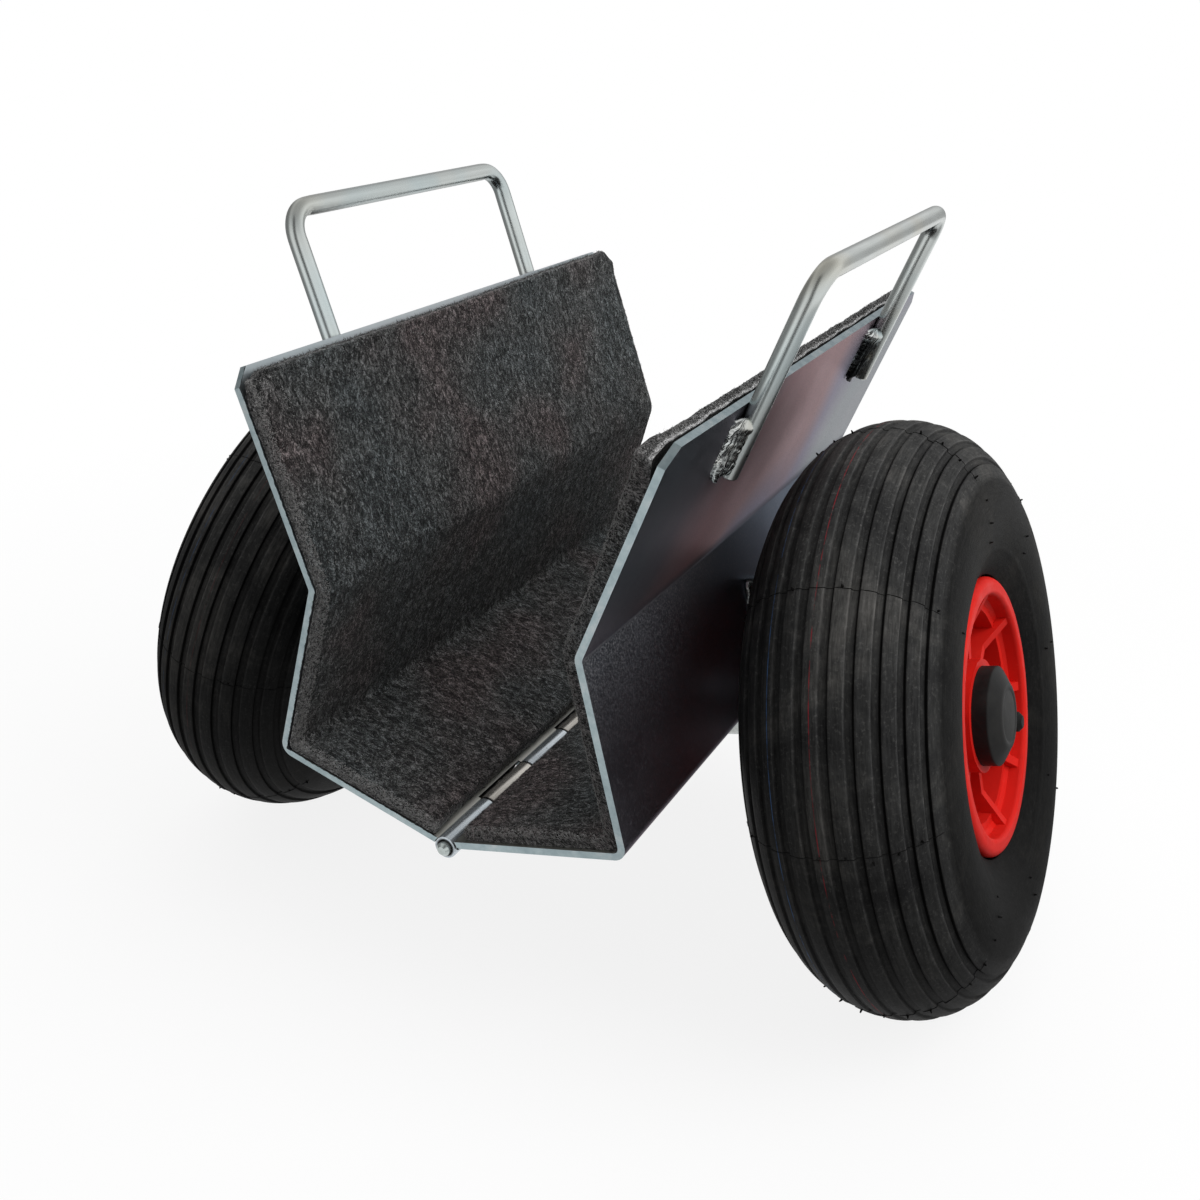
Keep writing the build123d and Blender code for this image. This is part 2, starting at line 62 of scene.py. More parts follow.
# Sizes of the solids, in millimetres and degrees, in the leaf and wheel frames
OPEN_ANGLE = math.radians(15.0)
CLOSED_ANGLE = OPEN_ANGLE + math.radians(23.8)
PLATE_LENGTH = 300.0
SHEET = 3.0
FLANGE = 84.5
LOWER_WALL = 81.5
UPPER_WALL = 89.0
WAIST_BEND = math.radians(35.5)
BEND_RADIUS = 2.5
CORNER_CUT = 7.0
FELT = 6.0
FELT_INSET = 1.5
FELT_TO_HINGE = 8.5
KNUCKLE_COUNT = 9
KNUCKLE_GAP = 0.5
BAR_RADIUS = 4.0
HANDLE_SPAN = 164.0
HANDLE_RISE = 53.5
HANDLE_LAP = 30.0
HANDLE_BEND = 12.0
AXLE_RADIUS = 10.0
WHEEL_MIDDLE = 152.5
TYRE_ROUND = 42.5
TYRE_MIDDLE = 87.5
TYRE_WALL = 6.0
TREAD_PITCH = 13.0
TREAD_GROOVES = 10
GROOVE_WIDTH = 3.0
GROOVE_DEPTH = 1.2
SIDE_RING_ANGLE = 112.0
LIP_ANGLE = 128.6
BEAD_LIP = 61.2
BEAD_SEAT = 51.0
BEAD_HEEL = 27.8
BEAD_TOE = 18.8

# Small forms that the solids leave out, in millimetres, and shares of the felt's thickness
TREAD_DROP, RIB_CROWN = 0.4, 0.14
RING_HEIGHT, RING_WIDTH = 0.22, 1.5
OFF_TREAD = 500.0
MOULD_LINES, MOULD_REACH, MOULD_FOOT = 8, 39.0, 76.0
KNUCKLE_RIM = np.array([  # in from the end, radius, grease and painted shade
    (0.5, 3.05, 1.0), (0.05, 3.55, 1.0), (0.0, 4.5, 0.95), (0.2, 4.85, 0.85), (0.75, 5.0, 0.0),
])
CAP_SECTION = np.array([  # out along the axle, radius
    (26.0, 19.6), (26.0, 21.5), (36.0, 21.5), (36.4, 21.42), (36.65, 21.2), (36.95, 20.8), (40.2, 14.9), (40.6, 14.2),
    (40.83, 13.5), (40.95, 12.7), (40.9, 11.8), (40.7, 11.3), (40.65, 10.7), (40.8, 10.0), (40.95, 3.0),
])
FACE_FOLD_RADIUS, FACE_WAIST_RADIUS = 3.0, 14.0
FACE_FIBRES = 22400
FELT_ROUND, FELT_SINK = 2.3, 0.28
FRONT_ROUND, FRONT_SINK = 4.6, 0.46
FELT_PEEL, PEEL_WIDTH, PEEL_HEIGHT = 2.8, 8.0, 45.0
PALE_TOP, LOOSE_TOP, LOOSE_FRONT = 5.0, 12.0, 6.0
TOP_REACH, HINGE_REACH, END_REACH, UPPER_REACH = 16.0, 14.0, 12.0, 80.0
BAR_CHAMFER = 0.5
FILLET_ASIDE, FILLET_OUT, FILLET_LENGTH, FILLET_SIZE = 5.2, 2.7, 26.3, 1.75
RIPPLE, RIPPLE_PITCH = 0.02, 2.6
STOP_FROM_END, STOP_WIDTH = 3.4, 2.4

LEVEL, RISE = math.cos(OPEN_ANGLE), math.sin(OPEN_ANGLE)
HINGE_HEIGHT = (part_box("hinge_pin")[0].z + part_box("hinge_pin")[1].z) / 2 / MM
WALL_UP = np.array([math.sin(WAIST_BEND), math.cos(WAIST_BEND)])
WALL_OUT = np.array([math.cos(WAIST_BEND), -math.sin(WAIST_BEND)])
MEETING_OUT = np.array([math.cos(CLOSED_ANGLE), -math.sin(CLOSED_ANGLE)])
WAIST = np.array([FLANGE, LOWER_WALL])
TOP = WAIST + UPPER_WALL * WALL_UP
KNUCKLE_PITCH = PLATE_LENGTH / KNUCKLE_COUNT


# ---------------------------------------------------------------- shapes

def in_row(side, t, y, h):
    """Leaf-frame places (out along the flange, along the hinge, square to the flange) set in the row
    frame: turned up about the hinge by the opening angle, and mirrored for the left half."""
    x = side * (t * LEVEL - h * RISE)
    z = HINGE_HEIGHT + t * RISE + h * LEVEL
    return np.stack(np.broadcast_arrays(x, y, z), -1) * MM


def leaf_way(side, way):
    """A leaf-frame direction (out along the flange, square to it) in the row frame."""
    return side * (way[0] * LEVEL - way[1] * RISE), 0.0, way[0] * RISE + way[1] * LEVEL


def on_wheel(side, out, radius, angle):
    """Wheel-frame places (out along the axle, radius, angle from upright towards the back)."""
    return in_row(side, WHEEL_MIDDLE + out, radius * np.sin(angle), radius * np.cos(angle) - AXLE_RADIUS)


def circle(count):
    """Evenly spaced angles once round."""
    return np.linspace(0, 2 * np.pi, count, endpoint=False)


def measured(line):
    """Each step of a line and, from the line's start, the distance along it to each point."""
    steps = np.linalg.norm(np.diff(line, axis=0), axis=1)
    return steps, np.r_[0, np.cumsum(steps)]


def headings(steps):
    """The directions of flat steps, and the directions to their left."""
    ahead = steps / np.linalg.norm(steps, axis=1)[:, None]
    return ahead, np.stack([-ahead[:, 1], ahead[:, 0]], 1)


def rounded_line(corners, radii, spacings, arc_steps):
    """A flat line through corner points. Each inner corner is replaced by an arc of its radius that
    touches both runs; each run is sampled at its own spacing, shares from 0 to 1."""
    corners = np.asarray(corners, float)
    ahead, left = headings(np.diff(corners, axis=0))
    turn = np.arctan2((left[:-1] * ahead[1:]).sum(1), (ahead[:-1] * ahead[1:]).sum(1))
    radii = np.asarray(radii, float)
    reach = radii * np.tan(np.abs(turn) / 2)
    begin = corners[:-1] + ahead * np.r_[0, reach][:, None]
    finish = corners[1:] - ahead * np.r_[reach, 0][:, None]
    parts = []
    for k, spacing in enumerate(spacings):
        parts.append(begin[k] + (finish[k] - begin[k]) * spacing[:, None])
        if k < len(turn):
            spoke = -left[k] * np.sign(turn[k]) * radii[k]
            a = turn[k] * np.linspace(0, 1, arc_steps + 2)[1:-1, None]
            square = np.array([-spoke[1], spoke[0]])
            parts.append(finish[k] - spoke + spoke * np.cos(a) + square * np.sin(a))
    return np.concatenate(parts)


def shifted(corners, distance):
    """A line of corner points moved to its left by a distance, with mitred corners."""
    corners = np.asarray(corners, float)
    _, left = headings(np.diff(corners, axis=0))
    before, after = np.r_[left[:1], left], np.r_[left, left[-1:]]
    return corners + (before + after) * (distance / (1 + (before * after).sum(1)))[:, None]


def waves(seed, count, finest, *places):
    """A smooth random field from -1 to 1: a sum of sines whose directions and phases are drawn from a
    seeded generator, with lengths from ten times the finest down to the finest."""
    draw = np.random.default_rng(seed)
    total, weights = 0.0, 0.0
    for length in finest * np.geomspace(10, 1, count):
        heading = draw.normal(size=len(places))
        heading *= 2 * math.pi / length / np.linalg.norm(heading)
        phase = sum(p * k for p, k in zip(places, heading)) + draw.uniform(0, 2 * math.pi)
        weight = length ** 0.35
        total, weights = total + weight * np.sin(phase), weights + weight * 0.75
    return total / weights


def rising(distance, reach):
    """A share that grows from 0 to 1 while a distance grows from 0 to a reach."""
    return np.clip(distance / reach, 0, 1)


def fading(distance, reach):
    """A share that falls from 1 at an edge to 0 at a reach from it."""
    return rising(reach - distance, reach)


def cells(rows, columns, rows_closed=False):
    """Corner numbers of the cells of a grid, whose last column joins its first, and whose last row may."""
    i = np.arange(rows if rows_closed else rows - 1)[:, None]
    j = np.arange(columns)[None, :]
    i2, j2 = (i + 1) % rows, (j + 1) % columns
    corners = [i * columns + j, i2 * columns + j, i2 * columns + j2, i * columns + j2]
    return np.stack(np.broadcast_arrays(*corners), -1).reshape(-1, 4)


def fan(ring, centre):
    """Triangles from a ring of corner numbers to one centre."""
    return np.stack([ring, np.roll(ring, -1), np.full(len(ring), centre)], -1)


def shell(points, rows_closed=False, **values):
    """A closed surface from a grid of places whose rows are loops. The end rows are joined to each
    other, or closed by fans to their middles. Values are numbers carried by the grid's points."""
    rows, columns = points.shape[:2]
    flat = points.reshape(-1, 3)
    quads, tris = cells(rows, columns, rows_closed), np.zeros((0, 3), int)
    values = {k: np.broadcast_to(v, (rows, columns)).ravel() for k, v in values.items()}
    if not rows_closed:
        ends = np.arange(columns), np.arange(columns) + (rows - 1) * columns
        flat = np.r_[flat, points[:1].mean(1), points[-1:].mean(1)]
        tris = np.r_[fan(ends[0], rows * columns), fan(ends[1], rows * columns + 1)[:, ::-1]]
        values = {k: np.r_[v, v[ends[0]].mean(), v[ends[1]].mean()] for k, v in values.items()}
    return outward({"points": flat, "quads": quads, "tris": tris, "values": values})


def outward(made):
    """Turns every face round if the volume that the faces enclose is negative."""
    p, q, t = made["points"], made["quads"], made["tris"]
    faces = np.r_[q[:, [0, 1, 2]], q[:, [0, 2, 3]], t]
    a, b, c = p[faces[:, 0]], p[faces[:, 1]], p[faces[:, 2]]
    if (a * np.cross(b, c)).sum() < 0:
        made["quads"], made["tris"] = q[:, ::-1], t[:, ::-1]
    return made


def joined(shells):
    """Several shells as one."""
    starts = np.cumsum([0] + [len(s["points"]) for s in shells])
    return {
        "points": np.concatenate([s["points"] for s in shells]),
        "quads": np.concatenate([s["quads"] + n for s, n in zip(shells, starts)]),
        "tris": np.concatenate([s["tris"] + n for s, n in zip(shells, starts)]),
        "values": {k: np.concatenate([s["values"][k] for s in shells]) for k in shells[0]["values"]},
    }


def piece(name, made, finish, body, slot, *nodes):
    """A mesh object from a shell, which rides on a body, takes a finish and stands for nodes; the slot is not used.
    Its faces are smooth, except across edges of more than 40 degrees."""
    mesh = bpy.data.meshes.new(name)
    quads, tris = made["quads"], made["tris"]
    mesh.vertices.add(len(made["points"]))
    mesh.vertices.foreach_set("co", made["points"].astype(np.float32).ravel())
    mesh.loops.add(quads.size + tris.size)
    mesh.loops.foreach_set("vertex_index", np.r_[quads.ravel(), tris.ravel()].astype(np.int32))
    mesh.polygons.add(len(quads) + len(tris))
    starts = np.r_[np.arange(len(quads)) * 4, quads.size + np.arange(len(tris)) * 3]
    mesh.polygons.foreach_set("loop_start", starts.astype(np.int32))
    for key, numbers in made["values"].items():
        mesh.attributes.new(key, "FLOAT", "POINT").data.foreach_set("value", numbers.astype(np.float32))
    mesh.update(calc_edges=True)
    mesh.validate()
    mesh.set_sharp_from_angle(angle=math.radians(40))
    mesh.materials.append(finish)
    made_object = bpy.data.objects.new(name, mesh)
    bpy.context.scene.collection.objects.link(made_object)
    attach(made_object, body)
    if nodes:
        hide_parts(*nodes)
    return made_object


# ---------------------------------------------------------------- finishes

class Nodes:
    """Short calls for the nodes of one tree."""

    def __init__(self, tree):
        self.tree = tree

    def node(self, kind, inputs=None, **settings):
        """A new node with its settings made and its inputs fed."""
        made = self.tree.nodes.new("ShaderNode" + kind)
        for key, value in settings.items():
            setattr(made, key, value)
        for key, value in (inputs or {}).items():
            self.feed(made.inputs[key], value)
        return made

    def feed(self, socket, value):
        """A link from another socket, or a plain number or colour."""
        if isinstance(value, bpy.types.NodeSocket):
            self.tree.links.new(value, socket)
        else:
            socket.default_value = value

    def place(self, scale=(1, 1, 1), turn=(0, 0, 0)):
        """Object coordinates in metres, turned and then stretched."""
        source = self.node("TexCoord").outputs["Object"]
        turned = self.node("Mapping", {"Vector": source, "Rotation": turn}).outputs["Vector"]
        return self.node("Mapping", {"Vector": turned, "Scale": scale}).outputs["Vector"]

    def axes(self, place):
        """A place's three numbers, by the names X, Y and Z."""
        return self.node("SeparateXYZ", {"Vector": place}).outputs

    def vector(self, *numbers):
        """A place from its three numbers."""
        return self.node("CombineXYZ", dict(zip("XYZ", numbers))).outputs["Vector"]

    def dot(self, place, way):
        """How far a place lies in a direction."""
        return self.node("VectorMath", {0: place, 1: way}, operation="DOT_PRODUCT").outputs["Value"]

    def number(self, name):
        """A value that the piece carries."""
        return self.node("Attribute", attribute_name=name).outputs["Fac"]

    def ray(self, *kinds):
        """1 for a ray of one of these kinds, and otherwise 0."""
        path = self.node("LightPath").outputs
        return self.most(*(path[f"Is {kind} Ray"] for kind in kinds))

    def noise(self, place, scale, detail=3.0, rough=0.55, bend=0.0):
        """A cloudy number about 0.5."""
        inputs = {"Vector": place, "Scale": scale, "Detail": detail, "Roughness": rough, "Distortion": bend}
        return self.node("TexNoise", inputs).outputs["Fac"]

    def cell(self, place, scale):
        """The distance to the nearest of scattered points."""
        return self.node("TexVoronoi", {"Vector": place, "Scale": scale}).outputs["Distance"]

    def spread(self, value, low, high, to_low=0.0, to_high=1.0):
        """A number moved from one range to another, and kept within it."""
        inputs = {"Value": value, "From Min": low, "From Max": high, "To Min": to_low, "To Max": to_high}
        return self.node("MapRange", inputs, clamp=True).outputs["Result"]

    def math(self, operation, first, *others):
        """An operation on two numbers, and on its result and each further number. One number is left as it is."""
        for other in others:
            first = self.node("Math", {0: first, 1: other}, operation=operation).outputs["Value"]
        return first

    def plus(self, *values):
        return self.math("ADD", *values)

    def minus(self, *values):
        return self.math("SUBTRACT", *values)

    def times(self, *values):
        return self.math("MULTIPLY", *values)

    def most(self, *values):
        return self.math("MAXIMUM", *values)

    def size(self, value):
        """A number without its sign."""
        return self.node("Math", {0: value}, operation="ABSOLUTE").outputs["Value"]

    def ramp(self, value, *stops):
        """Colours by a number. Each stop has its place and its colour, or one number for a grey."""
        made = self.node("ValToRGB", {"Fac": value})
        band = made.color_ramp.elements
        while len(band) < len(stops):
            band.new(0.5)
        for element, (position, colour) in zip(band, stops):
            element.position, element.color = position, (*np.broadcast_to(colour, 3), 1)
        return made.outputs["Color"]

    def mix(self, share, first, second, blend="MIX"):
        """Two colours blended by a share."""
        made = self.node("Mix", data_type="RGBA", blend_type=blend)
        for index, value in ((0, share), (6, first), (7, second)):
            self.feed(made.inputs[index], (*value, 1) if isinstance(value, tuple) else value)
        return made.outputs[2]

    def shaded(self, colour, factor):
        """A colour multiplied by a number or a colour."""
        return self.mix(1.0, colour, factor, "MULTIPLY")

    def bump(self, height, distance, strength=1.0, under=None):
        """A normal tilted by the slope of a height, over another normal."""
        inputs = {"Height": height, "Distance": distance, "Strength": strength}
        if under is not None:
            inputs["Normal"] = under
        return self.node("Bump", inputs).outputs["Normal"]

    def blended(self, share, first, second, output):
        """Two shaders mixed by a share into the tree's output."""
        both = self.node("MixShader", {0: share, 1: first.outputs[0], 2: second.outputs[0]})
        self.feed(self.tree.nodes[output].inputs["Surface"], both.outputs[0])


class Finish(Nodes):
    """A Principled material and the nodes that make its pattern."""

    def __init__(self, name, **sockets):
        self.material = bpy.data.materials.new(name)
        self.material.use_nodes = True
        super().__init__(self.material.node_tree)
        self.shader = self.tree.nodes["Principled BSDF"]
        for key, value in sockets.items():
            self.shader.inputs[key.replace("_", " ")].default_value = value

    def done(self, colour=None, rough=None, normal=None):
        """The material, once its colour, roughness and normal are fed."""
        for key, value in (("Base Color", colour), ("Roughness", rough), ("Normal", normal)):
            if value is not None:
                self.feed(self.shader.inputs[key], value)
        return self.material


def zinc_sheet(name, side):
    """Zinc-plated sheet: passivation colours that drift along the hinge from slate through mauve to pale blue,
    fine dust and specks, thickest at the front below the waist bend, a painted highlight line along that bend, a
    painted reflection that darkens the sheet below the waist, more towards the back, a plainer pale inside, a floor
    beside the knuckles painted paler against the shade it lies in, slots beside the knuckles painted near black as
    grease and shade, and pale cut edges, on the left with a ragged dark line of painted shadow beside the felt."""
    f = Finish(name, Metallic=1.0)
    f.shader.inputs["Specular Tint"].default_value = (0.50, 0.46, 0.48, 1)
    place = f.place()
    drift = f.noise(place, 7.0, 1.0, 0.4, 0.5)
    along = f.axes(place)["Y"]
    lift = f.dot(place, (-side * RISE, 0, LEVEL))
    below = f.minus((LOWER_WALL + HINGE_HEIGHT * LEVEL) * MM, lift)
    # passivation colours along the hinge
    band = f.plus(f.spread(along, -0.15, 0.15), f.spread(drift, 0.3, 0.7, -0.2, 0.2))
    band = f.plus(band, f.spread(below, -0.07, 0.0, -0.07, 0.20))
    colour = f.ramp(band, (0.0, (0.19, 0.215, 0.245)), (0.2, (0.22, 0.22, 0.25)), (0.36, (0.46, 0.29, 0.30)),
                    (0.58, (0.60, 0.43, 0.435)), (0.76, (0.48, 0.475, 0.58)), (1.0, (0.56, 0.63, 0.645)))
    grain = f.noise(place, 1300.0, 2.0, 0.6)
    colour = f.mix(f.spread(grain, 0.35, 0.7, 0.0, 0.28), colour, (0.12, 0.12, 0.13))
    # dust, a painted reflection that darkens the sheet below the waist, haze, a painted highlight along the bend, and
    # specks
    frontward = f.spread(f.plus(along, f.spread(drift, 0.3, 0.7, -0.03, 0.03)), -0.135, 0.0, 1.0, 0.0)
    dusty = f.times(f.spread(below, 0.001, 0.045, 1.0, 0.0), f.spread(below, -0.0002, 0.0008), frontward)
    # painted reflection: the sheet below the waist darkened to slate, standing in for the dark surroundings it
    # reflects, more towards the back
    lower = f.times(f.spread(below, -0.005, 0.0), f.spread(along, -0.12, -0.02, 0.72, 0.94))
    colour = f.mix(lower, colour, (0.115, 0.15, 0.185))
    haze = f.spread(f.noise(place, 900.0, 4.0, 0.75), 0.52, 0.74, 0.0, 0.4)
    colour = f.mix(haze, colour, (0.36, 0.36, 0.38))
    dusty = f.times(dusty, f.spread(f.noise(place, 1100.0, 5.0, 0.85), 0.47, 0.63))
    # painted highlight: a pale line along the waist bend, strongest at the front; from here on it is carried with the
    # dust
    bend_highlight = f.times(f.spread(f.size(below), 0.0003, 0.0008, 0.4, 0.0), f.spread(along, -0.15, 0.03, 1.0, 0.0))
    dusty = f.most(dusty, bend_highlight)
    colour = f.mix(dusty, colour, (0.42, 0.42, 0.44))
    specks = f.spread(f.cell(place, 300.0), 0.04, 0.10, 0.5, 0.0)
    colour = f.mix(specks, colour, (0.07, 0.07, 0.075))
    # faces told apart by their direction: inside, floor and slots, cut edges
    normal = f.node("TexCoord").outputs["Normal"]
    ways = (0, 1, 0), leaf_way(side, WALL_UP), (0, 0, 1), (-side, 0, 0)
    endwards, upwards, level, inwards = (f.dot(normal, way) for way in ways)
    inside = f.times(f.spread(inwards, 0.6, 0.8, 0.0, 0.9), f.spread(below, 0.072, 0.076, 1.0, 0.0))
    colour = f.mix(inside, colour, (0.50, 0.56, 0.585))
    # the bare floor beside the knuckles: its own grey, made paler as painted light against the shade it lies in
    colour = f.mix(f.spread(level, 0.8, 0.93, 0.0, 0.95), colour, (0.55, 0.55, 0.51))
    # grease and painted shade: the slots beside the knuckles near black
    slot = f.times(f.spread(inwards, 0.6, 0.8, 0.0, 0.97), f.spread(below, 0.076, 0.079))
    colour = f.mix(slot, colour, (0.022, 0.021, 0.020))
    cut = f.spread(f.plus(f.size(endwards), f.most(upwards, 0.0)), 0.93, 0.98)
    drag = f.noise(place, 190.0, 3.0, 0.65)
    pale = f.ramp(drag, (0.3, (0.31, 0.39, 0.415)), (0.55, (0.41, 0.495, 0.515)), (0.75, (0.53, 0.575, 0.585)))
    if side < 0:
        # painted shadow of the felt: a dark line within a ragged distance of the sheet's inner face
        out = leaf_way(side, WALL_OUT)
        limits = FLANGE - SHEET + HINGE_HEIGHT * RISE, TOP @ WALL_OUT - SHEET + HINGE_HEIGHT * out[2]
        wall, slope = (f.minus(f.dot(place, way), limit * MM)
                       for way, limit in zip(((side * LEVEL, 0, RISE), out), limits))
        wall = f.most(wall, f.minus(below, (LOWER_WALL - SHEET) * MM))
        low = f.math("GREATER_THAN", below, 0.0)
        gap = f.plus(f.times(wall, low), f.times(slope, f.minus(1.0, low)))
        ragged = f.spread(f.noise(place, 420.0, 3.0, 0.7), 0.35, 0.65, 0.0001, 0.0006)
        pale = f.mix(f.math("LESS_THAN", gap, ragged), pale, (0.02, 0.022, 0.024))
    colour = f.mix(cut, colour, pale)
    rough = f.spread(f.noise(place, 26.0, 3.0, 0.6), 0.3, 0.7, 0.34, 0.44)
    rough = f.plus(rough, f.times(haze, 0.3))
    bumps = f.bump(f.noise(place, 180.0, 2.0, 0.5), 0.00003, 0.5)
    metal = f.minus(f.spread(haze, 0.0, 0.4, 0.955, 0.82), f.times(dusty, 0.42))
    f.feed(f.shader.inputs["Metallic"], metal)
    return f.done(colour, rough, f.bump(grain, 0.00001, 0.5, bumps))


def zinc_bar(name, light=(0.47, 0.50, 0.50), dark=(0.36, 0.39, 0.39), tint=(0.50, 0.46, 0.36), metal=1.0):
    """Zinc-plated turned steel: fine lengthwise marks, straw tints in patches, a few small pits, and black at the rims
    of hinge knuckles, grease and painted shade in the joints. Metal is below 1 where the plating is satin."""
    f = Finish(name, Metallic=metal)
    place = f.place()
    streaks = f.noise(f.place((1, 0.06, 1)), 600.0, 3.0, 0.6)
    colour = f.mix(f.spread(streaks, 0.35, 0.68), light, dark)
    patches = f.spread(f.noise(place, 24.0, 2.0, 0.5, 0.6), 0.52, 0.74, 0.0, 0.4)
    colour = f.mix(patches, colour, tint)
    pits = f.spread(f.cell(place, 110.0), 0.03, 0.06, 0.6, 0.0)
    colour = f.mix(pits, colour, (0.12, 0.12, 0.11))
    rough = f.spread(f.noise(place, 70.0, 3.0, 0.6), 0.3, 0.7, 0.20, 0.30)
    # grease and painted shade: the knuckles' rims near black
    colour = f.mix(f.number("rim"), colour, (0.012, 0.011, 0.010))
    normal = f.bump(pits, -0.0001, 0.6, f.bump(streaks, 0.00002, 0.4))
    return f.done(colour, rough, normal)


def drawn_bar(name):
    """Zinc-plated drawn bar: faint draw marks that follow the bar, soft straw and blue tints, a few small pits,
    and a darker top, above about 0.31 m."""
    f = Finish(name, Metallic=1.0)
    place = f.place()
    lie = f.vector(f.times(f.number("along"), 8.0), f.number("cosine"), f.number("sine"))
    marks = f.noise(lie, 2.6, 4.0, 0.6)
    colour = f.mix(f.spread(marks, 0.34, 0.66), (0.69, 0.73, 0.715), (0.595, 0.63, 0.612))
    tints = f.noise(f.place(turn=(0.4, 0.7, 0.0)), 13.0, 2.0, 0.5, 0.4)
    colour = f.mix(f.spread(tints, 0.52, 0.66, 0.0, 0.55), colour, (0.68, 0.62, 0.48))
    colour = f.mix(f.spread(tints, 0.34, 0.46, 0.7, 0.0), colour, (0.53, 0.645, 0.67))
    pits = f.spread(f.cell(place, 70.0), 0.018, 0.032, 0.6, 0.0)
    colour = f.mix(pits, colour, (0.11, 0.11, 0.10))
    # darker along the top, above about 0.31 m
    darker_top = f.spread(f.axes(place)["Z"], 0.310, 0.325, 1.0, 0.84)
    colour = f.shaded(colour, darker_top)
    rough = f.spread(f.noise(place, 60.0, 3.0, 0.6), 0.3, 0.7, 0.24, 0.32)
    return f.done(colour, rough, f.bump(pits, -0.0001, 0.5, f.bump(marks, 0.00001, 0.1)))


def weld_metal(name):
    """Plated weld: silver drawn into streaks along the bead over black scale, bare where the arc stopped, with
    black slits and straw heat tints. The bead's own number says how much of it is silver."""
    f = Finish(name, Metallic=1.0)
    lie = f.vector(f.times(f.number("along"), 0.45), f.number("cosine"), f.number("sine"))
    lumps = f.noise(lie, 190.0, 3.0, 0.6, 0.9)
    level = f.plus(lumps, f.number("silver"))
    colour = f.ramp(level, (0.38, (0.014, 0.015, 0.016)), (0.45, (0.06, 0.064, 0.066)), (0.52, (0.32, 0.37, 0.38)),
                    (0.66, (0.48, 0.54, 0.545)), (0.85, (0.66, 0.68, 0.67)))
    heat = f.spread(f.noise(f.place(), 110.0, 2.0), 0.54, 0.72, 0.0, 0.4)
    colour = f.mix(heat, colour, (0.30, 0.27, 0.19))
    crack = f.size(f.minus(f.noise(lie, 150.0, 3.0, 0.6, 0.6), 0.46))
    slits = f.spread(crack, 0.005, 0.024, 0.85, 0.0)
    colour = f.mix(slits, colour, (0.012, 0.013, 0.014))
    rough = f.spread(level, 0.4, 0.8, 0.40, 0.22)
    return f.done(colour, rough, f.bump(slits, -0.0003, 0.8, f.bump(lumps, 0.0005, 0.75)))


def felt_cloth(name):
    """Needled wool felt: short dark grey wisps and tufts that lie up the walls, faint warm and cool clouds, painted
    light that darkens it towards the front and lightens it towards the back, paler cut edges, partly open wool and
    partly painted light, and a back painted dark as shade."""
    f = Finish(name, Specular_IOR_Level=0.1, Sheen_Weight=0.1, Sheen_Roughness=0.5)
    f.shader.inputs["Sheen Tint"].default_value = (0.5, 0.5, 0.5, 1)
    along, across, depth = f.number("along"), f.number("across"), f.number("depth")
    lie = f.vector(f.times(along, 0.62), across, depth)
    wisps = f.noise(lie, 1150.0, 3.0, 0.62, 2.2)
    tufts = f.noise(lie, 330.0, 3.0, 0.6, 1.4)
    shade = f.plus(f.times(wisps, 0.62), f.times(tufts, 0.38))
    colour = f.ramp(shade, (0.37, 0.005), (0.45, 0.015), (0.50, 0.038), (0.555, (0.112, 0.111, 0.111)),
                    (0.63, (0.33, 0.328, 0.326)))
    clouds = f.noise(f.place(), 15.0, 2.0, 0.5)
    warmth = f.ramp(clouds, (0.36, (0.90, 1.0, 1.03)), (0.50, (0.97, 1.0, 1.0)), (0.64, (1.14, 0.97, 0.97)))
    colour = f.shaded(colour, warmth)
    # painted light: darker towards the front, lighter towards the back
    colour = f.shaded(colour, f.spread(across, -0.15, 0.15, 0.80, 1.10))
    # paler cut faces and edges: partly open wool, partly painted light, palest along the top
    opened = f.ramp(wisps, (0.38, 0.05), (0.50, 0.26), (0.62, 0.78))
    colour = f.mix(f.spread(depth, 0.0002, 0.0050, 0.0, 0.9), colour, opened)
    # painted shade: the back darkened where its depth falls below zero
    colour = f.shaded(colour, f.spread(depth, -0.001, -0.0001, 0.1, 1.0))
    rough = f.spread(wisps, 0.3, 0.7, 0.88, 1.0)
    return f.done(colour, rough, f.bump(shade, 0.0010, 0.8))


def felt_fibre(name):
    """Single wool fibres, from near black to pale grey."""
    f = Finish(name, Specular_IOR_Level=0.12)
    shade = f.number("shade")
    colour = f.ramp(shade, (0.0, 0.006), (0.5, 0.034), (0.78, (0.105, 0.105, 0.104)), (1.0, (0.33, 0.326, 0.32)))
    rough = f.spread(f.noise(f.place(), 900.0, 2.0), 0.3, 0.7, 0.75, 0.95)
    return f.done(colour, rough)


